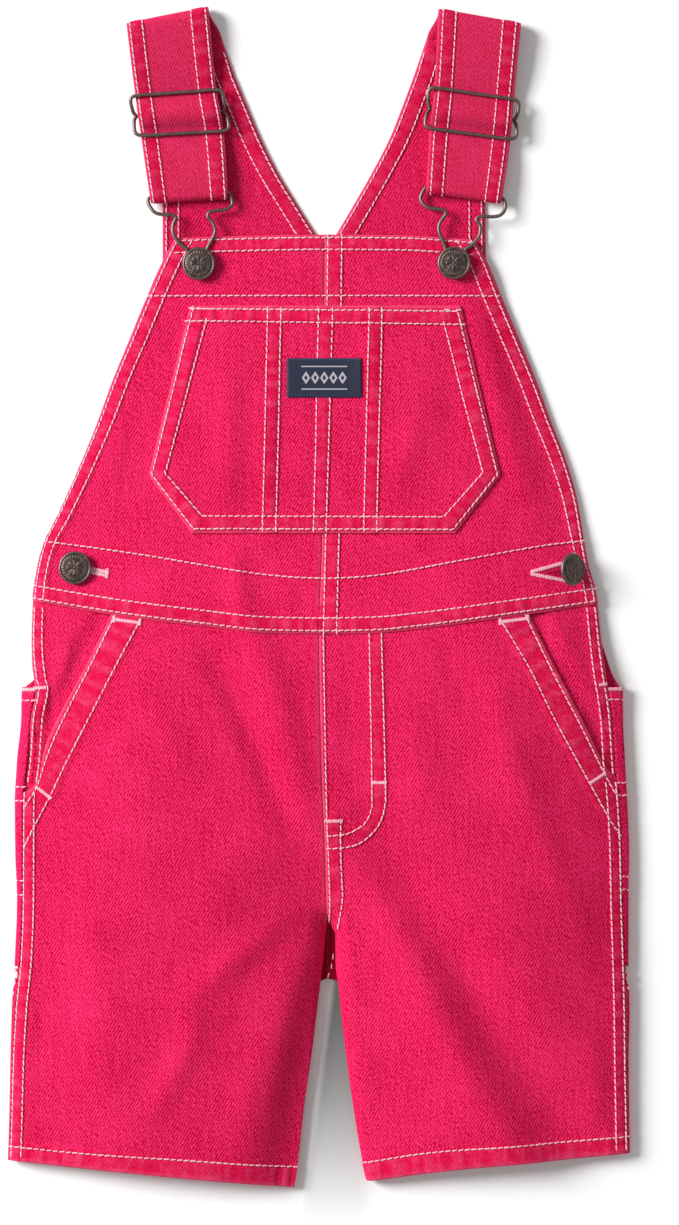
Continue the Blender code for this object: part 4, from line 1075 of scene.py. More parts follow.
# %% Strap cloth
def strap_faces(side_name, offset):
    """Both faces of a strap, `offset` millimetres out from its middle line, and its places."""
    table = STRAPS[side_name]
    route = strap_route()
    tangents = np.gradient(route, axis=0)
    tangents /= np.linalg.norm(tangents, axis=1, keepdims=True)
    normals = np.stack((-tangents[:, 1], tangents[:, 0]), axis=1)
    across = np.array([0, 0.008, 0.022, 0.04, 0.06, 0.09, 0.125, 0.16, 0.19, 0.215, 0.25]
                      + list(np.linspace(0.3, 0.7, 11))
                      + [0.75, 0.785, 0.81, 0.84, 0.875, 0.91, 0.94, 0.96, 0.978, 0.992, 1])
    travelled = np.concatenate(((0.0,), np.cumsum(np.hypot(*np.diff(route, axis=0).T))))
    flare = (SHOULDER_WIDENING / STRAP_WIDTH) * ease(1 - travelled / 12.0)
    if side_name == "left":
        low, high = np.zeros(len(route)), 1.0 + flare
    else:
        low, high = -flare, np.ones(len(route))
    places = low[:, None] + (high - low)[:, None] * across
    faces = []
    for way in (1, -1):
        moved = route + normals * way * offset
        faces.append(strap_points(table, moved[:, :1], places, moved[:, 1:2]))
    return faces, route, normals, across, travelled


def strap(side_name):
    (outer, inner), route, _, across, travelled = strap_faces(side_name, STRAP_THICKNESS / 2)
    groove = np.zeros(len(across))
    for place in STRAP_ROWS[side_name]:
        groove = np.maximum(groove, np.exp(-((across - place) * STRAP_WIDTH / GROOVE_WIDTH) ** 2))
    rows = STRAP_ROWS[side_name]
    band = np.zeros(len(across))
    for first, second in (rows[:2], rows[2:]):
        distance = np.abs(across - (first + second) / 2) * STRAP_WIDTH
        band = np.maximum(band, 1 - ease((distance - 2.7) / 1.4))
    edge = np.minimum(across, 1 - across) * STRAP_WIDTH
    waves = np.stack([np.where(across < 0.5, ripple(place, 1.0), ripple(place, 2.0))
                      for place in travelled])
    pucker = waves * band
    relief = 0.25 * band + 0.16 * pucker - 0.28 * groove - 0.35 * (1 - rounded(edge, EDGE_ROLL))
    outward = outer - inner
    outward /= np.linalg.norm(outward, axis=2, keepdims=True)
    outer = outer + outward * relief[..., None]
    full = np.ones((len(route), 1))
    faded = np.maximum(np.exp(-(edge / 1.3) ** 2), 0.3 * (1 - band))
    marks = {"worn": full * faded, "band": full * band, "groove": full * groove,
             "pucker": pucker, "shaded": full * np.full(len(across), STRAP_SHADE)}
    grain = np.stack((full * across * STRAP_WIDTH, -travelled[:, None] * np.ones(len(across)),
                      np.zeros_like(pucker)), axis=-1)
    return shell("strap_cloth_" + side_name, outer, inner, grain, marks)


for side_name in SIDES:
    pieces["strap_" + side_name] = strap(side_name)

# %% [markdown]
# The bodice is the back above the waist. It lies flat under the bib, in two halves that meet
# in a seam, and its upper edge forms a V between the straps, turned and sewn with two rows.

# %% Bodice
def bodice_half(side_name):
    left = side_name == "left"
    outer_column, inner_column = (1, 2) if left else (4, 3)
    table = STRAPS[side_name]
    flare = SHOULDER_WIDENING / STRAP_WIDTH
    ends = (0.0, 1.0 + flare) if left else (1.0, -flare)
    top_outer, top_inner = (strap_points(table, np.array(STRAP_SEAM - 0.9), end, CLOTH) for end in ends)
    ys = np.concatenate((np.arange(240.0, 156.0, -1.6), np.arange(156.0, -11.0, -2.4), (-11.7,)))
    edges = [read(BODICE, column, ys) for column in (outer_column, inner_column)]
    near = [0.0, 0.3, 0.8, 1.3, 1.8, 2.6, 4.0, 5.4, 6.7, 7.4, 8.2, 9.4]
    x = np.stack(spread(edges[0], edges[1], near, near, 22), axis=1)
    y = np.repeat(ys[:, None], x.shape[1], axis=1)
    first_x, first_y = x[0].copy(), y[0].copy()
    share = (first_x - first_x[0]) / (first_x[-1] - first_x[0])
    top_row = top_outer + (top_inner - top_outer) * share[:, None]
    upper = []
    for blend in np.linspace(0, 1, 9)[:-1]:
        upper.append(np.stack((top_row[:, 0] + (first_x - top_row[:, 0]) * blend,
                               top_row[:, 1] + (first_y - top_row[:, 1]) * blend), axis=1))
    flat = np.concatenate((np.array(upper), np.stack((x, y), axis=-1)))
    x, y = flat[..., 0], flat[..., 1]
    points = np.stack((x, y, np.full_like(x, CLOTH)), axis=-1)
    normals = np.zeros_like(points)
    normals[..., 2] = 1.0
    if not left:
        points, normals = points[:, ::-1], normals[:, ::-1]
    neck = [(top_inner[0], top_inner[1])] + [(row[inner_column], row[0]) for row in BODICE[:7]]
    neck_line = smooth_line(neck)
    side_line = smooth_line([(row[outer_column], row[0]) for row in BODICE])
    rows = bodice_rows(side_name)
    bands = [((rows[0] + rows[1]) / 2, 3.2)]
    # Painted shade: the whole bodice is darkened a little toward the shaded pink.
    return wall("bodice_cloth_" + side_name, points, normals, (rows, [neck_line, side_line], bands),
                shaded=0.16)


def bodice_rows(side_name):
    """Rows beside the V, then rows beside the outer edge, by their distances from it."""
    left = side_name == "left"
    inner_column, way = (2, -1) if left else (3, 1)
    ys = np.linspace(250.0, 168.5, 44)
    inner = read(BODICE, inner_column, ys) + way * (ys > 240) * (ys - 240) * 0.3
    rows = [np.stack((inner + way * offset, ys), axis=1) for offset in (1.7, 8.8)]
    outer_column = 1 if left else 4
    ys = np.linspace(238.0, 130.0, 50)
    outer = read(BODICE, outer_column, ys)
    rows += [np.stack((outer - way * offset, ys), axis=1) for offset in (1.8, 7.4)]
    return rows


for side_name in SIDES:
    pieces["bodice_" + side_name] = bodice_half(side_name)

# %% [markdown]
# The woven label is a thin flat ribbon on the bib pocket. Its edges round off over less than
# a millimetre and are a little worn.

# %% Label
def label():
    left, right, low, high = LABEL_BOX
    x, y = np.meshgrid(np.linspace(left, right, 60), np.linspace(high, low, 34))
    normals = surface_normals(x, y)
    points = np.stack((x, y, top_height(x, y) + BIB_LIFT), axis=-1)
    points = points + normals * (POCKET_LIFT + LABEL_LIFT)
    edge = np.minimum(np.minimum(x - left, right - x), np.minimum(y - low, high - y))
    relief = -0.25 * (1 - rounded(edge, 0.8))
    marks = {"worn": np.exp(-(edge / 0.8) ** 2)}
    return shell("label_cloth", points + normals * relief[..., None],
                 points - normals * LABEL_THICKNESS, grain_of(points), marks)


pieces["label"] = label()

# %% [markdown]
# Shader and geometry trees are written as Python. `Wire` wraps one socket, so that plain
# arithmetic adds Math nodes, and `Graph.node` adds any other node from its settings and
# what its sockets are given.

# %% Node helpers
class Wire:
    def __init__(self, graph, socket):
        self.graph = graph
        self.socket = socket

    def math(self, operation, *others):
        return self.graph.node("ShaderNodeMath", {"operation": operation}, (self, *others))

    def __add__(self, other):
        return self.math("ADD", other)

    __radd__ = __add__

    def __sub__(self, other):
        return self.math("SUBTRACT", other)

    def __rsub__(self, other):
        return self.graph.node("ShaderNodeMath", {"operation": "SUBTRACT"}, (other, self))

    def __mul__(self, other):
        return self.math("MULTIPLY", other)

    __rmul__ = __mul__

    def __truediv__(self, other):
        return self.math("DIVIDE", other)

    def __pow__(self, other):
        return self.math("POWER", other)

    def output(self, which):
        """Another output of the same node."""
        return Wire(self.graph, self.socket.node.outputs[which])

    def sine(self):
        return self.math("SINE")

    def clamped(self):
        return self.graph.node("ShaderNodeClamp", {}, (self, 0.0, 1.0))

    def stepped(self, low, high):
        """0 below `low`, 1 above `high` and smooth between."""
        return self.graph.node("ShaderNodeMapRange", {"interpolation_type": "SMOOTHSTEP"},
                               (self, low, high, 0.0, 1.0))


class Graph:
    def __init__(self, tree):
        self.tree = tree

    def node(self, kind, settings=None, values=(), out=0):
        """Adds a node. `values` fills its sockets in order, or by name where it is a dict."""
        made = self.tree.nodes.new(kind)
        for name, setting in (settings or {}).items():
            setattr(made, name, setting)
        pairs = values.items() if isinstance(values, dict) else enumerate(values)
        for key, value in pairs:
            if isinstance(value, Wire):
                self.tree.links.new(value.socket, made.inputs[key])
            elif value is not None:
                made.inputs[key].default_value = value
        return Wire(self, made.outputs[out])


print("node helpers ready")

# %% [markdown]
# A row of stitches is one small grain-shaped thread, repeated along a line. Geometry Nodes
# do this: they walk the line in steps of the stitch length, stand one grain on each step
# with its long side along the line and its back to the cloth, and turn the result into a
# plain mesh. The same tree makes bar tacks and buttonholes, with narrow steps and the
# grains turned across the line.

# %% The sewing tree
def sewing_tree():
    tree = bpy.data.node_groups.new("sewing", "GeometryNodeTree")
    face = tree.interface
    face.new_socket("Geometry", in_out="OUTPUT", socket_type="NodeSocketGeometry")
    face.new_socket("Geometry", in_out="INPUT", socket_type="NodeSocketGeometry")
    for name in ("Pitch", "Length", "Width", "Height", "Turn", "Unevenness"):
        face.new_socket(name, in_out="INPUT", socket_type="NodeSocketFloat")
    face.new_socket("Thread", in_out="INPUT", socket_type="NodeSocketMaterial")
    graph = Graph(tree)
    given = tree.nodes.new("NodeGroupInput")
    sizes = {socket.name: Wire(graph, socket) for socket in given.outputs if socket.name}
    curve = graph.node("GeometryNodeMeshToCurve", {}, (sizes["Geometry"],))
    points = graph.node("GeometryNodeCurveToPoints", {"mode": "LENGTH"},
                        {"Curve": curve, "Length": sizes["Pitch"]})
    tangent = points.output("Tangent")
    up = graph.node("GeometryNodeInputNamedAttribute", {"data_type": "FLOAT_VECTOR"}, {"Name": "up"})
    facing = graph.node("FunctionNodeAxesToRotation", {"primary_axis": "X", "secondary_axis": "Z"},
                        (tangent, up))
    uneven = graph.node("FunctionNodeRandomValue", {"data_type": "FLOAT"},
                        {2: -1.0, 3: 1.0, "Seed": 7}, out=1)
    angle = sizes["Turn"] + uneven * sizes["Unevenness"]
    turn = graph.node("FunctionNodeAxisAngleToRotation", {}, {"Axis": (0, 0, 1), "Angle": angle})
    rotation = graph.node("FunctionNodeRotateRotation", {"rotation_space": "LOCAL"}, (facing, turn))
    ball = graph.node("GeometryNodeMeshUVSphere", {}, {"Segments": 6, "Rings": 6, "Radius": 0.5})
    scale = graph.node("ShaderNodeCombineXYZ", {}, (sizes["Height"], sizes["Width"], sizes["Length"]))
    spot = graph.node("ShaderNodeSeparateXYZ", {}, (graph.node("GeometryNodeInputPosition"),))
    height = spot.output(2) * 2.0
    square = height * height
    fuller = ((square + 1.0) * (square * square + 1.0)) ** 0.5
    fuller = graph.node("ShaderNodeCombineXYZ", {},
                        (spot * fuller, spot.output(1) * fuller, spot.output(2)))
    blunt = graph.node("GeometryNodeSetPosition", {}, {"Geometry": ball, "Position": fuller})
    grain = graph.node("GeometryNodeTransform", {},
                       {"Geometry": blunt, "Rotation": (0.0, math.pi / 2, 0.0), "Scale": scale})
    grain = graph.node("GeometryNodeSetShadeSmooth", {}, (grain,))
    stretch = graph.node("FunctionNodeRandomValue", {"data_type": "FLOAT"},
                         {2: 0.88, 3: 1.08, "Seed": 11}, out=1)
    placed = graph.node("GeometryNodeInstanceOnPoints", {},
                        {"Points": points, "Instance": grain, "Rotation": rotation, "Scale": stretch})
    real = graph.node("GeometryNodeRealizeInstances", {}, (placed,))
    done = graph.node("GeometryNodeSetMaterial", {}, {"Geometry": real, "Material": sizes["Thread"]})
    result = tree.nodes.new("NodeGroupOutput")
    tree.links.new(done.socket, result.inputs[0])
    return tree


SEWING = sewing_tree()
print("sewing tree has", len(SEWING.nodes), "nodes")


# %% [markdown]
# Each row becomes a chain of edges that lies on the cloth, with the cloth's own up
# direction kept at every point for the tree to read.

# %% Laying stitches
THREAD = bpy.data.materials.new("thread")
STITCH_PITCH = 3.0
STITCH = {"Length": 2.8, "Width": 0.74, "Height": 0.64, "Turn": 0.11, "Unevenness": 0.07}
TACK = {"Length": 1.6, "Width": 0.5, "Height": 0.7, "Turn": 1.45, "Unevenness": 0.12}
TACK_PITCH = 0.42
SATIN = {"Length": 1.75, "Width": 0.48, "Height": 0.8, "Turn": 1.57, "Unevenness": 0.16}
THREAD_LIFT = 0.12


def sew(name, lines, pitch=STITCH_PITCH, shape=STITCH):
    """Stitches along lines. A line is a pair of arrays: points and up directions."""
    verts, edges, ups = [], [], []
    for points, up in lines:
        start = len(verts)
        verts += [tuple(point) for point in points * MM]
        ups += [tuple(direction) for direction in up]
        edges += [(start + step, start + step + 1) for step in range(len(points) - 1)]
    mesh = bpy.data.meshes.new(name)
    mesh.from_pydata(verts, edges, [])
    mesh.attributes.new("up", "FLOAT_VECTOR", "POINT").data.foreach_set("vector", np.ravel(ups))
    carrier = put_in_scene(name + "_lines", mesh)
    modifier = carrier.modifiers.new("sewing", "NODES")
    modifier.node_group = SEWING
    given = {"Pitch": pitch * MM, "Thread": THREAD}
    given.update({key: value if key in ("Turn", "Unevenness") else value * MM
                  for key, value in shape.items()})
    for item in SEWING.interface.items_tree:
        if item.in_out == "INPUT" and item.name in given:
            modifier[item.identifier] = given[item.name]
    graph = bpy.context.evaluated_depsgraph_get()
    result = bpy.data.meshes.new_from_object(carrier.evaluated_get(graph))
    result.name = name
    bpy.data.objects.remove(carrier)
    result.calc_loop_triangles()
    print(name, len(result.loop_triangles), "triangles")
    return put_in_scene(name, result)


# %% [markdown]
# A row on a seam was drawn flat. These helpers lift it on to its layer: the trousers, the
# bib above them or the pocket above the bib. Rows on the bib stop where the pocket hides it.

# %% Rows on each layer
def on_top(line, lift):
    """A line on the top surface, raised `lift` millimetres along its normals."""
    x, y = line[:, 0], line[:, 1]
    normals = surface_normals(x, y)
    points = np.stack((x, y, top_height(x, y)), axis=-1)
    return points + normals * (np.zeros(len(x)) + lift + THREAD_LIFT)[:, None], normals


def on_bib(line, lift=0.0):
    points, normals = on_top(line, lift)
    points[:, 2] += bib_lift(line[:, 0], line[:, 1])
    return points, normals


def under_pocket(line):
    """Parts of a bib line that the pocket leaves open."""
    low, high = BIB_POCKET[-1][0], BIB_POCKET[0][0]
    left, right = pocket_sides(line[:, 1])
    hidden = (line[:, 1] > low) & (line[:, 1] < high) & (line[:, 0] > left) & (line[:, 0] < right)
    parts, current = [], []
    for point, covered in zip(line, hidden):
        if covered:
            if len(current) > 1:
                parts.append(np.array(current))
            current = []
        else:
            current.append(point)
    if len(current) > 1:
        parts.append(np.array(current))
    return parts


band_lift = BAND_RISE * 0.5
print("rows lie", band_lift + THREAD_LIFT, "mm above the flat cloth")

# %% [markdown]
# Now each panel's rows are sewn as one mesh, so a garment with thousands of stitches has
# only a few pieces.

# %% Rows of stitches
front_lines = [on_top(line, band_lift) for side in SIDES.values() for line in front_rows(side)]
bib_lines = [on_bib(part, band_lift) for side in SIDES.values() for line in bib_rows(side)
             for part in under_pocket(line)]
pocket_lines = [on_bib(line, pocket_lift(line[:, 0], line[:, 1]) + band_lift)
                for line in pocket_rows() + [straight_line(ends) for ends in POCKET_CORNERS]]
side_lines = [on_top(line, -SIDE_SEAM_GAP + band_lift)
              for side in SIDES.values() for line in side_panel_rows(side)]
bodice_lines = []
for side_name in SIDES:
    for line in bodice_rows(side_name):
        points = np.column_stack((line, np.full(len(line), CLOTH + band_lift + THREAD_LIFT)))
        bodice_lines.append((points, np.tile((0.0, 0.0, 1.0), (len(line), 1))))
strap_lines = []
for side_name in SIDES:
    (outer, inner), route, _, across, _ = strap_faces(
        side_name, STRAP_THICKNESS / 2 + THREAD_LIFT + 0.05)
    up = outer - inner
    up /= np.linalg.norm(up, axis=2, keepdims=True)
    for place in STRAP_ROWS[side_name]:
        column = int(np.argmin(np.abs(across - place)))
        last = int(len(route) * 0.78)
        strap_lines.append((outer[1:last, column], up[1:last, column]))

threads = [sew("front_stitches", front_lines), sew("bib_stitches", bib_lines),
           sew("pocket_stitches", pocket_lines), sew("side_stitches", side_lines),
           sew("bodice_stitches", bodice_lines), sew("strap_stitches", strap_lines)]

# %% [markdown]
# Where a seam is pulled on, such as the ends of a pocket opening, the fly and the side
# openings, a short bar of close zigzag holds it. The two side buttonholes are edged the same
# way. The left one is shut behind its button, the right one is pulled open into a V.

# %% Bar tacks and buttonholes
FRONT_TACKS = (
    ((-94.0, -10.3), (-82.0, -11.9)), ((-93.9, -8.9), (-94.1, -11.6)), ((-81.8, -10.2), (-82.2, -13.0)),
    ((-129.8, -87.2), (-122.8, -92.6)), ((84.0, -11.5), (96.2, -9.9)), ((83.3, -9.4), (83.6, -12.6)),
    ((96.0, -8.2), (96.4, -10.8)), ((124.8, -85.7), (132.0, -81.0)), ((24.4, -85.1), (31.2, -85.1)),
    ((3.0, -102.8), (10.9, -102.7)),
)
PANEL_TACKS = (((-130.8, -42.0), (-125.4, -41.6)), ((129.4, -40.4), (132.6, -40.0)))
BUTTONHOLES = (
    ((-107.0, 13.6), (-97.2, 11.4)), ((-107.2, 12.0), (-97.6, 9.8)), ((-97.0, 12.8), (-97.3, 8.8)),
    ((98.4, 11.7), (113.4, 15.8)), ((98.4, 10.5), (113.8, 7.4)), ((98.4, 11.9), (98.4, 10.1)),
)


def straight(ends, step=1.0):
    return straight_line(ends, step)


threads.append(sew("front_tacks", [on_top(straight(ends), band_lift) for ends in FRONT_TACKS]
                   + [on_top(straight(ends), -SIDE_SEAM_GAP + band_lift) for ends in PANEL_TACKS],
                   TACK_PITCH, TACK))
threads.append(sew("buttonhole_edges", [on_bib(straight(ends), 0.1) for ends in BUTTONHOLES],
                   TACK_PITCH, SATIN))

# %% [markdown]
# The tool pockets wrap from the back round to the side seam. Pairs of rows cross them, and
# the back has rows of its own along the hems, the middle seam and the pocket edges.

# %% Stitches on the back
# Heights of the rows across each tool pocket
CROSS_ROWS = {"left": (-47.6, -87.4, -93.8, -130.6, -137.1),
              "right": (-47.2, -85.6, -91.3, -128.8, -134.8)}
POCKET_TACK_Y = {"left": -42.6, "right": -42.4}
LOOP_TACKS = {"left": (-172.0, -176.5, -182.5), "right": (-174.6, -180.2)}
CROTCH_SEAM = ((6.7, -166.0), (6.0, -170.5), (4.6, -174.6))
BACK_THREAD_LIFT = 0.04
BACK_ROW_OFFSET = 2.2
BODICE_SEAM_X = 3.7
ROWS_ABOVE_WAIST_SEAM = (-7.5, -2.0)


def under(line, depth):
    """A line on the under side of the garment, `depth` millimetres below the back's face."""
    points = np.column_stack((line, np.full(len(line), depth)))
    return points, np.tile((0.0, 0.0, -1.0), (len(line), 1))


def across_fold(side, y):
    """A line round the side fold of the back at y, from the seam to the under side."""
    path = under_path(side, y, 1.0)
    up = np.column_stack((path[:, 2], np.zeros(len(path)), path[:, 3]))
    line = np.column_stack((path[:, 0], np.full(len(path), y), path[:, 1]))
    return line + up * BACK_THREAD_LIFT, up


back_lines, back_tacks = [], []
for side_name, side in SIDES.items():
    points, normals = tool_pocket_faces[side_name]
    for height in CROSS_ROWS[side_name]:
        line, up = across_fold(side, height)
        back_lines.append((line[:points.shape[1] - 2], up[:points.shape[1] - 2]))
    back_tacks.append(tuple(part[:10] for part in across_fold(side, POCKET_TACK_Y[side_name])))
    back_tacks += [tuple(part[2:12] for part in across_fold(side, height))
                   for height in LOOP_TACKS[side_name]]
    for inset in (-2, -10):
        column = points[:, inset] + normals[:, inset] * BACK_THREAD_LIFT
        back_lines.append((column, normals[:, inset]))
    hem = smooth_line(HEM_ROW_LEFT if side < 0 else HEM_ROW_RIGHT)
    back_lines.append(under(hem[3:-3], -BACK_THREAD_LIFT))
    ys = np.linspace(BACK_WAIST_Y - 6.0, BACK_CROTCH_Y + 3.0, 60)
    centre = np.stack((np.full(60, CENTRE_BACK_X + side * BACK_ROW_OFFSET), ys), axis=1)
    back_lines.append(under(centre, -BACK_THREAD_LIFT))
    neck = bodice_rows(side_name)
    back_lines += [under(line[line[:, 1] < 236.0], -BACK_THREAD_LIFT) for line in neck]
    ys = np.linspace(156.0, -8.0, 60)
    centre = np.stack((np.full(60, BODICE_SEAM_X + side * BACK_ROW_OFFSET), ys), axis=1)
    back_lines.append(under(centre, -BACK_THREAD_LIFT))
    outer = float(read(BODICE, 1 if side < 0 else 4, -9.0))
    for row_y in ROWS_ABOVE_WAIST_SEAM:
        row = straight_line(((outer - side * 3.0, row_y), (CENTRE_BACK_X + side * 0.6, row_y)))
        back_lines.append(under(row, -BACK_THREAD_LIFT))
seam = smooth_line(CROTCH_SEAM)
back_lines.append((np.column_stack((seam, np.full(len(seam), CLOTH + 0.2))),
                   np.tile((0.0, 0.0, 1.0), (len(seam), 1))))
threads.append(sew("back_stitches", back_lines))
threads.append(sew("back_tacks", back_tacks, TACK_PITCH, TACK))

# %% [markdown]
# Slides and clasps are bent from round wire. A closed curve with a round bevel makes each,
# on a smooth line through the bends.

# %% Bending wire
WIRE_RADIUS = 0.86
WIRE_BESIDE_STRAP = 1.1
SLIDE_BULGE = 2.5
CLASP_SHAPES = {
    "left": (
        (-22.9, 30.6), (-23.3, 28.0), (-20.6, 24.0), (-16.9, 22.8), (-12.8, 22.8),
        (-10.6, 21.4), (-11.6, 19.1), (-12.0, 15.0), (-9.8, 10.4), (-5.6, 6.4), (-4.4, 1.6),
        (-3.2, -3.4), (0.0, -4.8), (3.4, -3.4), (4.6, 1.2), (3.6, 6.4), (6.0, 11.3),
        (7.5, 15.5), (6.0, 19.6), (4.0, 21.9), (5.1, 24.0), (8.4, 24.7), (12.2, 25.1),
        (15.4, 27.6), (15.0, 30.9)),
    "right": (
        (-14.0, 33.0), (-15.3, 30.0), (-13.0, 26.4), (-9.7, 25.3), (-5.1, 24.7), (-3.7, 22.9),
        (-6.4, 18.6), (-6.9, 15.1), (-5.4, 10.9), (-3.9, 6.5), (-4.6, 1.4), (-3.4, -3.4),
        (0.0, -4.8), (3.2, -3.4), (4.6, 1.6), (5.1, 6.0), (8.6, 8.8), (11.8, 13.0),
        (12.1, 17.3), (10.4, 20.1), (12.1, 21.6), (18.5, 21.5), (22.0, 22.6), (23.8, 25.9),
        (23.2, 29.0)),
}
BIB_BUTTONS = {"left": (-55.1, 153.4), "right": (62.3, 153.7)}


def wire(name, routes):
    """Round wire along closed or open routes, joined in one mesh."""
    curve = bpy.data.curves.new(name, "CURVE")
    curve.dimensions = "3D"
    curve.bevel_depth = WIRE_RADIUS * MM
    curve.bevel_resolution = 3
    curve.use_fill_caps = True
    for points, closed in routes:
        spline = curve.splines.new("POLY")
        spline.points.add(len(points) - 1)
        for spot, place in zip(spline.points, points * MM):
            spot.co = (*place, 1.0)
        spline.use_cyclic_u = closed
    holder = put_in_scene(name + "_route", curve)
    mesh = bpy.data.meshes.new_from_object(holder)
    bpy.data.objects.remove(holder)
    mesh.shade_smooth()
    print(name, len(mesh.polygons) * 2, "triangles")
    return put_in_scene(name, mesh)


# %% [markdown]
# A slide is one closed loop of wire that bulges beside the strap, with a bar across its
# middle that the strap's end is sewn round.

# %% Slides
def slide(side_name):
    table = STRAPS[side_name]
    width = math.hypot(table[1][3] - table[1][1], table[1][4] - table[1][2])
    beyond, wide = WIRE_BESIDE_STRAP / width, SLIDE_BULGE / width
    middle = SLIDE_MIDDLE_BAR
    low, top = SLIDE_LOWER_BAR, SLIDE_TOP_BAR
    flank = ((low - 0.7, wide * 0.66, SLIDE_BAR_Z - 0.1), (low - 2.4, wide, 5.5),
             (low - 5.2, wide * 0.96, 5.1), (middle + 2.0, wide * 0.8, 4.5), (middle, beyond, 4.2),
             (middle - 2.0, wide * 0.8, 4.5), (top + 5.2, wide * 0.96, 5.1), (top + 2.4, wide, 5.5),
             (top + 0.7, wide * 0.66, SLIDE_BAR_Z - 0.1))
    bar_places = (0.03, 0.25, 0.5, 0.75, 0.97)
    route = [(along, -out, z) for along, out, z in flank]
    route += [(top, across, SLIDE_BAR_Z) for across in bar_places]
    route += [(along, 1 + out, z) for along, out, z in reversed(flank)]
    route += [(low, across, SLIDE_BAR_Z) for across in reversed(bar_places)]
    ring = np.array([strap_points(table, np.array(along), across, z) for along, across, z in route])
    bar = np.array([strap_points(table, np.array(middle), across, SLIDE_MIDDLE_Z)
                    for across in (-beyond, 0.5, 1 + beyond)])
    return wire("slide_wire_" + side_name, ((smooth_line(ring, 0.8, True), True), (bar, False)))


print("slide is", round(SLIDE_LOWER_BAR - SLIDE_TOP_BAR, 1), "mm from bar to bar")

# %% [markdown]
# A clasp is one closed loop too. From the bar that holds the strap it narrows to a keyhole,
# which lies under the head of the bib button.

# %% Clasps
def clasp(side_name):
    table = STRAPS[side_name]
    x, y = BIB_BUTTONS[side_name]
    ring_z = float(top_height(np.array(x), np.array(y))) + BIB_LIFT + SEAM_GAP + WIRE_RADIUS + 0.15
    route = []
    for offset_x, offset_y in CLASP_SHAPES[side_name][1:-1]:
        z = float(np.interp(offset_y, (14, 19, 24, 29), (ring_z, ring_z - 0.4, 5.1, CLASP_BAR_Z)))
        route.append((x + offset_x, y + offset_y, z))
    width = math.hypot(table[-1][3] - table[-1][1], table[-1][4] - table[-1][2])
    beyond = 0.5 / width
    for across in (1 + beyond, 0.93, 0.5, 0.07, -beyond):
        route.append(tuple(strap_points(table, np.array(CLASP_BAR), across, CLASP_BAR_Z)))
    return wire("clasp_wire_" + side_name, ((smooth_line(route, 0.8, True), True),))


for side_name in SIDES:
    pieces["slide_" + side_name] = slide(side_name)
    pieces["clasp_" + side_name] = clasp(side_name)

# %% [markdown]
# Tack buttons are pressed from sheet metal: a domed head on a short shank. The face has
# pressed work: a rolled rim, a ring of beads and a low rosette. Its profile is turned round
# the shank in one grid, and the beads and petals are waves round it.

# %% Buttons
BUTTON_RADIUS = 7.6
BUTTON_THICKNESS = 2.4
SHANK_RADIUS = 2.2
BIB_BUTTON_STAND = 2 * WIRE_RADIUS + 0.6
# Columns: x, y, outward tilt in degrees, clear height under the head
SIDE_BUTTONS = {"left": (-111.9, 13.4, 0.0, 1.8), "right": (113.6, 12.7, 44.0, 3.8)}
BUTTON_BEADS = 26
BUTTON_PETALS = 8
AROUND = 156


def button(name, place, tilt, stand):
    head = BUTTON_RADIUS
    top = stand + BUTTON_THICKNESS
    # Columns: radius, height, share of the bead ring and of the rosette in that height
    profile = [(0.05, 0.0, 0, 0), (SHANK_RADIUS, 0.0, 0, 0), (SHANK_RADIUS, stand - 0.15, 0, 0),
               (head - 1.2, stand, 0, 0), (head - 0.35, stand + 0.1, 0, 0),
               (head, stand + 0.55, 0, 0), (head - 0.05, stand + 1.15, 0, 0),
               (head - 0.4, stand + 1.6, 0, 0), (head - 0.75, stand + 1.72, 0, 0),
               (head - 1.05, stand + 1.58, 0, 0), (head - 1.25, stand + 1.42, 0, 0)]
    for radius in np.linspace(head - 1.5, 0.05, 26):
        dome = 0.42 * (1 - (radius / (head - 1.3)) ** 2)
        bead = math.exp(-((radius - 5.25) / 0.42) ** 2)
        ring = 0.14 * math.exp(-((radius - 4.35) / 0.2) ** 2)
        petal = float(ease((radius - 0.7) / 0.8) * ease((4.0 - radius) / 0.8))
        boss = 0.2 * math.exp(-(radius / 0.55) ** 4)
        profile.append((radius, top - 0.8 + dome + ring + boss, bead, petal))
    angles = np.linspace(0, math.tau, AROUND, endpoint=False)
    beads = np.maximum(np.cos(angles * BUTTON_BEADS / 2), -np.cos(angles * BUTTON_BEADS / 2)) ** 1.5
    petals = np.abs(np.cos(angles * BUTTON_PETALS / 2)) ** 0.7
    rings = []
    for radius, height, bead, petal in profile:
        heights = height + 0.24 * bead * beads + 0.22 * petal * petals
        rings.append(np.stack((radius * np.cos(angles), radius * np.sin(angles), heights), axis=1))
    grid = np.array(rings)
    turn = np.array(Matrix.Rotation(math.radians(tilt), 3, "Y"))
    grid = grid @ turn.T
    x, y = place
    clear = top_height(x + grid[..., 0], y + grid[..., 1]) + BIB_LIFT + SEAM_GAP - grid[..., 2]
    grid += np.array((x, y, float(np.max(clear))))
    count = len(rings)
    index = np.arange(count * AROUND).reshape(count, AROUND)
    following = np.roll(index, -1, axis=1)
    faces = np.stack((index[:-1], following[:-1], following[1:], index[1:]), axis=-1).reshape(-1, 4)
    mesh = bpy.data.meshes.new(name)
    caps = [index[0][::-1].tolist(), index[-1].tolist()]
    mesh.from_pydata((grid.reshape(-1, 3) * MM).tolist(), [], faces.tolist() + caps)
    mesh.shade_smooth()
    print(name, len(faces) * 2, "triangles")
    return put_in_scene(name, mesh)


for side_name in SIDES:
    pieces["bib_button_" + side_name] = button("bib_button_head_" + side_name,
                                               BIB_BUTTONS[side_name], 0.0, BIB_BUTTON_STAND)
    x, y, tilt, stand = SIDE_BUTTONS[side_name]
    pieces["side_button_" + side_name] = button("side_button_head_" + side_name, (x, y), tilt, stand)

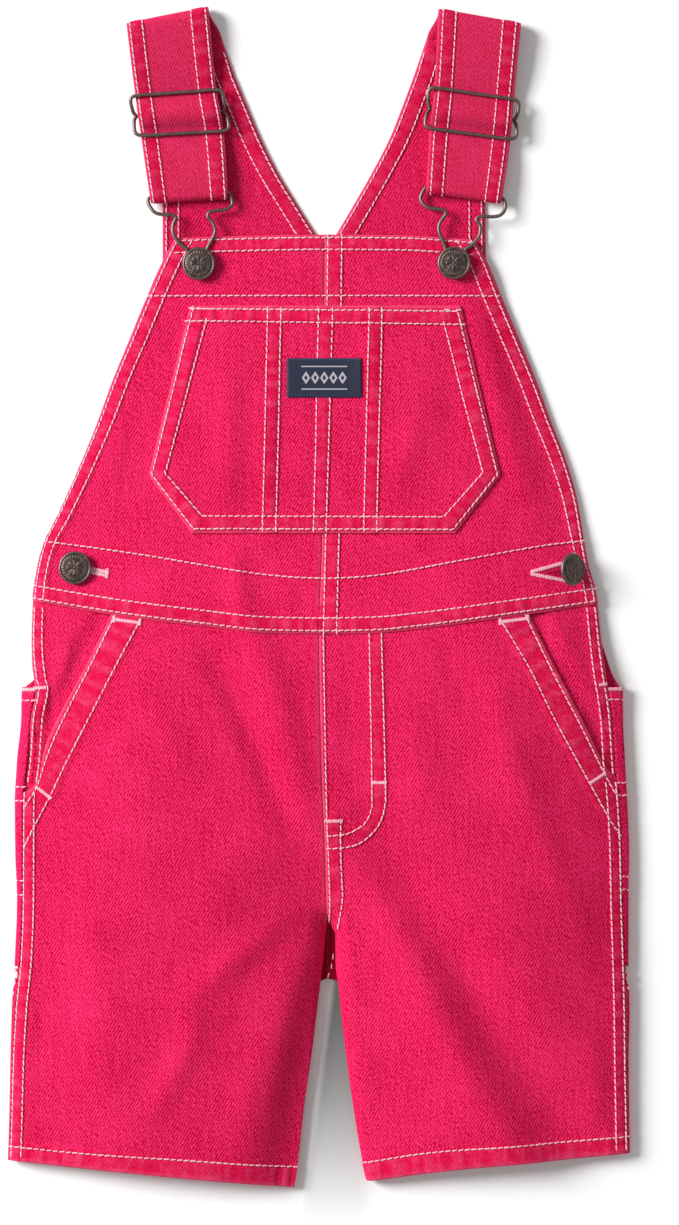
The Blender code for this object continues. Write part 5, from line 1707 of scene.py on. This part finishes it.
# %% [markdown]
# Four finishes are needed: denim, thread, label cloth and dark metal. What they share comes
# first: noise, a mix of two colours, the cloth's own places and the last links.

# %% Finish helpers
def new_material(name, base=None):
    made = base or bpy.data.materials.new(name)
    made.use_nodes = True
    return made, Graph(made.node_tree), made.node_tree.nodes["Principled BSDF"]


def mark(graph, name):
    """One of the numbers that were written on the cloth when it was built."""
    return graph.node("ShaderNodeAttribute", {"attribute_name": name}, out=2)


def noise(graph, vector, scale, detail=2.0, roughness=0.5):
    return graph.node("ShaderNodeTexNoise", {"noise_dimensions": "3D"},
                      {"Vector": vector, "Scale": scale, "Detail": detail, "Roughness": roughness})


def mixed(graph, factor, first, second):
    made = graph.tree.nodes.new("ShaderNodeMix")
    made.data_type = "RGBA"
    for key, value in ((0, factor), (6, first), (7, second)):
        if isinstance(value, Wire):
            graph.tree.links.new(value.socket, made.inputs[key])
        else:
            made.inputs[key].default_value = value if key == 0 else (*value, 1.0)
    return Wire(graph, made.outputs[2])


def cloth_places(graph):
    """Places on the cloth in millimetres: both together, then across and along."""
    grain = graph.node("ShaderNodeAttribute", {"attribute_name": "grain"}, out=1)
    in_mm = graph.node("ShaderNodeVectorMath", {"operation": "SCALE"},
                       {"Vector": grain, "Scale": 1000.0})
    across = graph.node("ShaderNodeSeparateXYZ", {}, (in_mm,))
    return in_mm, across, across.output(1)


def finish(graph, shader, colour, settings, height=None, strength=0.0, distance=0.0):
    """Colour and relief linked to the shader, and its other sockets set."""
    graph.tree.links.new(colour.socket, shader.inputs["Base Color"])
    if height is not None:
        bump = graph.node("ShaderNodeBump", {},
                          {"Strength": strength, "Distance": distance, "Height": height})
        graph.tree.links.new(bump.socket, shader.inputs["Normal"])
    for name, value in settings.items():
        shader.inputs[name].default_value = value


print("finish helpers ready")

# %% [markdown]
# Denim is woven on a diagonal. Dyed threads lie on top and paler ones show between them, so
# from close by it is a fine slanted hatch full of light specks, and from afar an uneven pink
# with paler wear at every folded edge. The finish reads the thread directions and the marks
# that were written when the cloth was built.

# %% Denim
DEEP_PINK = (0.47, 0.0002, 0.029)
PALE_PINK = (0.93, 0.029, 0.160)
WORN_PINK = (0.82, 0.095, 0.205)
BAND_PINK = (0.66, 0.0012, 0.05)
SHADED_PINK = (0.24, 0.0004, 0.015)
TWILL_PITCH = 1.25
TWILL_ANGLE = math.radians(60)


def denim():
    made, graph, shader = new_material("denim")
    in_mm, across, along = cloth_places(graph)
    wobble = noise(graph, in_mm, 0.35, 1.0)
    slope = across * math.sin(TWILL_ANGLE) - along * math.cos(TWILL_ANGLE)
    slant = across * math.cos(TWILL_ANGLE) + along * math.sin(TWILL_ANGLE)
    twill = (slope * (math.tau / TWILL_PITCH) + wobble * 2.6).sine() * 0.5 + 0.5
    turned = graph.node("ShaderNodeCombineXYZ", {}, (slope * 2.1, slant * 0.7, 0.0))
    yarn = noise(graph, turned, 1.0, 2.0, 0.6)
    stretched = graph.node("ShaderNodeVectorMath", {"operation": "MULTIPLY"},
                           {0: in_mm, 1: (0.7, 0.05, 1.0)})
    slub = noise(graph, stretched, 1.0, 2.0, 0.6)
    cloud = noise(graph, in_mm, 0.03, 3.0, 0.6)
    blotch = noise(graph, in_mm, 0.2, 3.0, 0.6)
    tone = twill * 0.95 + (yarn - 0.5) * 5.2 + (slub - 0.5) * 1.0 + (cloud - 0.5) * 0.9
    colour = mixed(graph, tone.clamped(), DEEP_PINK, PALE_PINK)
    worn, band, groove, pucker, shaded = (
        mark(graph, name) for name in ("worn", "band", "groove", "pucker", "shaded"))
    ridge = (pucker * 0.42 + blotch * 1.6 - 0.45).stepped(0.1, 0.9)
    colour = mixed(graph, (band * (1.0 - ridge) * 0.6).clamped(), colour, BAND_PINK)
    rubbed = (worn * (0.3 + 0.5 * blotch) + band * ridge * 0.3).clamped()
    colour = mixed(graph, rubbed, colour, WORN_PINK)
    # Painted shade: the grooves under the stitch rows are darkened toward the deep pink.
    colour = mixed(graph, (groove * 0.42).clamped(), colour, DEEP_PINK)
    # Painted shade: the parts marked as shaded, the straps, the bodice, the back at the crotch and the
    # open buttonhole, are darkened toward the shaded pink.
    colour = mixed(graph, shaded.clamped(), colour, SHADED_PINK)
    relief = twill * 0.5 + yarn * 0.35 + slub * 0.2 + blotch * band * 3.0
    finish(graph, shader, colour,
           {"Roughness": 0.9, "Specular IOR Level": 0.05, "Sheen Weight": 0.02,
            "Sheen Roughness": 0.5, "Sheen Tint": (1.0, 0.45, 0.55, 1.0)}, relief, 0.6, 0.0002)
    return made


DENIM = denim()
print("denim has", len(DENIM.node_tree.nodes), "nodes")

# %% [markdown]
# The topstitching thread is pale pink cotton. A fine noise makes it a little fuzzy.

# %% Thread
def thread():
    _, graph, shader = new_material("thread", THREAD)
    fuzz = noise(graph, graph.node("ShaderNodeTexCoord", {}, out=3), 2500.0, 2.0)
    colour = mixed(graph, fuzz.stepped(0.3, 0.75), (0.88, 0.38, 0.48), (0.97, 0.60, 0.68))
    finish(graph, shader, colour, {"Roughness": 0.7, "Specular IOR Level": 0.3}, fuzz, 0.5, 0.0001)


thread()
print("thread has", len(THREAD.node_tree.nodes), "nodes")

# %% [markdown]
# The label is woven in navy with a pale figure: a row of five open lozenges between two
# lines. A lozenge is where the distances across and along, each divided by its half size,
# add up to less than one.

# %% Label finish
LABEL_MIDDLE = (2.65, 100.8)
LOZENGE_PITCH = 4.2
LOZENGE_HALF_HEIGHT = 3.2
LOZENGE_ROW = 10.5
LABEL_LINE = 5.2


def label_finish():
    made, graph, shader = new_material("label cloth")
    in_mm, across, along = cloth_places(graph)
    weave = (across * (math.tau / 0.5)).sine() * (along * (math.tau / 0.42)).sine() * 0.5 + 0.5
    fleck = noise(graph, in_mm, 1.4, 2.0)
    tone = (weave * 0.6 + fleck * 0.5).stepped(0.3, 0.95)
    colour = mixed(graph, tone, (0.006, 0.010, 0.030), (0.018, 0.028, 0.070))
    from_middle = across - LABEL_MIDDLE[0]
    from_centre = (along - LABEL_MIDDLE[1]).math("ABSOLUTE")
    cell = ((from_middle / LOZENGE_PITCH + 20.5).math("FRACT") - 0.5).math("ABSOLUTE") * LOZENGE_PITCH
    within_row = 1.0 - from_middle.math("ABSOLUTE").stepped(LOZENGE_ROW, LOZENGE_ROW + 0.1)
    spread_in = cell / (LOZENGE_PITCH / 2) + from_centre / LOZENGE_HALF_HEIGHT
    lozenge = (1.0 - spread_in.stepped(0.86, 0.94)) * spread_in.stepped(0.38, 0.46)
    line = 1.0 - ((from_centre - LABEL_LINE).math("ABSOLUTE")).stepped(0.18, 0.34)
    woven = ((lozenge + line).clamped() * within_row * (0.65 + 0.35 * weave)).clamped()
    colour = mixed(graph, woven, colour, (0.62, 0.55, 0.60))
    colour = mixed(graph, mark(graph, "worn") * 0.4, colour, (0.05, 0.07, 0.15))
    finish(graph, shader, colour, {"Roughness": 0.62, "Specular IOR Level": 0.35},
           weave, 0.6, 0.00015)
    return made


LABEL = label_finish()
print("label cloth has", len(LABEL.node_tree.nodes), "nodes")

# %% [markdown]
# Slides, clasps and buttons have a dark bronze finish, rubbed paler where the metal stands
# out. The Pointiness of the surface tells where that is.

# %% Metal
def dark_metal():
    made, graph, shader = new_material("dark metal")
    place = graph.node("ShaderNodeTexCoord", {}, out=3)
    patina = noise(graph, place, 420.0, 3.0, 0.6)
    scuff = noise(graph, place, 1500.0, 2.0)
    raised = graph.node("ShaderNodeNewGeometry", {}, out=7).stepped(0.5, 0.58)
    colour = mixed(graph, patina.stepped(0.35, 0.7), (0.074, 0.051, 0.047), (0.145, 0.105, 0.096))
    colour = mixed(graph, (raised * 0.7).clamped(), colour, (0.27, 0.21, 0.19))
    rough = 0.36 + 0.22 * patina
    graph.tree.links.new(rough.socket, shader.inputs["Roughness"])
    finish(graph, shader, colour, {"Metallic": 0.9}, scuff, 0.25, 0.0001)
    return made


METAL = dark_metal()
print("dark metal has", len(METAL.node_tree.nodes), "nodes")

# %% [markdown]
# Each piece takes its finish, rides on the one body that the garment has, and stands in for
# its solid. The stitches are extra pieces on the same body.

# %% Dressing the pieces
METAL_PARTS = ("slide", "clasp", "button")
for node, piece in pieces.items():
    if any(part in node for part in METAL_PARTS):
        material, slot = METAL, "dark_metal"
    elif node == "label":
        material, slot = LABEL, "label"
    else:
        material, slot = DENIM, "denim"
    piece.data.materials.clear()
    piece.data.materials.append(material)
    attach(piece, "root")
    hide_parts(node)
for piece in threads:
    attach(piece, "root")
print("dressed", len(pieces), "pieces and", len(threads), "meshes of stitches")

# %% [markdown]

# %% [markdown]
# The garment lies on a white table. The narrow strip of table between the legs gets little
# light, and more of it toward the hems. One lamp alone would leave it too pale, so the white
# is dimmed there, by a soft mask that is worked out from the place on the table.

# %% Table
FLOOR_HALF = 3.0
STAGE_FLOOR_Z = -0.0004
TABLE_WHITE = (0.93, 0.93, 0.93)
# The left leg's inner edge at one height, and how far it moves for each millimetre up
LEG_EDGE_X = -0.9
LEG_EDGE_Y = -192.0
LEG_EDGE_LEAN = 0.127
STRIP_TOP_Y = -180.0
STRIP_LENGTH = 110.0
DIMMING = 0.88
# The part of the dimming that the lamp's own shadow beside the left leg already gives
LAMP_SHADOW = 0.68


def table_finish():
    made, graph, shader = new_material("white table")
    place = graph.node("ShaderNodeTexCoord", {}, out=3)
    in_metres = graph.node("ShaderNodeSeparateXYZ", {}, (place,))
    x, y = in_metres * 1000.0, in_metres.output(1) * 1000.0
    from_leg = x - (y - LEG_EDGE_Y) * LEG_EDGE_LEAN - LEG_EDGE_X
    toward_hem = ((y - STRIP_TOP_Y) * (-1 / STRIP_LENGTH)).clamped()
    in_shadow = 1.0 - from_leg.stepped(3.0, 8.0)
    dimmed = (1.0 - toward_hem * toward_hem) * (DIMMING - in_shadow * LAMP_SHADOW)
    dimmed = dimmed * from_leg.stepped(-12.0, 0.0) * (1.0 - from_leg.stepped(28.0, 42.0))
    dimmed = dimmed * (y * -1.0).stepped(140.0, 150.0)
    colour = mixed(graph, dimmed, TABLE_WHITE, (0.0, 0.0, 0.0))
    finish(graph, shader, colour,
           {"Roughness": 0.9, "Specular IOR Level": 0.1, "Emission Color": (1.0, 1.0, 1.0, 1.0),
            "Emission Strength": 0.04})
    return made


floor_mesh = bpy.data.meshes.new("floor")
floor_mesh.from_pydata([(x * FLOOR_HALF, y * FLOOR_HALF, STAGE_FLOOR_Z)
                        for x, y in ((-1, -1), (1, -1), (1, 1), (-1, 1))], [], [(0, 1, 2, 3)])
floor = put_in_scene("floor", floor_mesh)
floor_mesh.materials.append(table_finish())
print("table is", 2 * FLOOR_HALF, "m wide")

# %% [markdown]
# The picture is taken from straight above, from far enough away that the garment's height
# hardly shows. One large soft light stands at the upper left and the rest of the room is
# bright, so the shadows are short, pale and fall to the lower right.

# %% Light and camera
def area_light(name, place, aim, size, watts):
    data = bpy.data.lights.new(name, "AREA")
    data.shape = "DISK"
    data.size = size
    data.energy = watts
    light = put_in_scene(name, data)
    light.location = place
    light.rotation_euler = (Vector(aim) - Vector(place)).to_track_quat("-Z", "Y").to_euler()
    return light


area_light("key light", (-3.6, 1.37, 2.4), (0.0, 0.0, 0.0), 2.1, 318.0)
world = bpy.data.worlds.new("room")
world.use_nodes = True
world.node_tree.nodes["Background"].inputs["Color"].default_value = (1.0, 1.0, 1.0, 1.0)
world.node_tree.nodes["Background"].inputs["Strength"].default_value = 0.35
bpy.context.scene.world = world
bpy.context.scene.view_settings.view_transform = "Standard"

PICTURE_CENTRE = (9.66, -7.13)
PICTURE_HEIGHT = 563.5
CAMERA_HEIGHT = 2000.0
MEAN_CLOTH_HEIGHT = 8.0
SENSOR = 36.0
camera_data = bpy.data.cameras.new("camera")
camera_data.sensor_width = SENSOR
camera_data.lens = SENSOR * CAMERA_HEIGHT / PICTURE_HEIGHT
camera = put_in_scene("camera", camera_data)
camera.location = Vector((*PICTURE_CENTRE, CAMERA_HEIGHT + MEAN_CLOTH_HEIGHT)) * MM
bpy.context.scene.camera = camera
print("lens", round(camera_data.lens, 1), "mm")
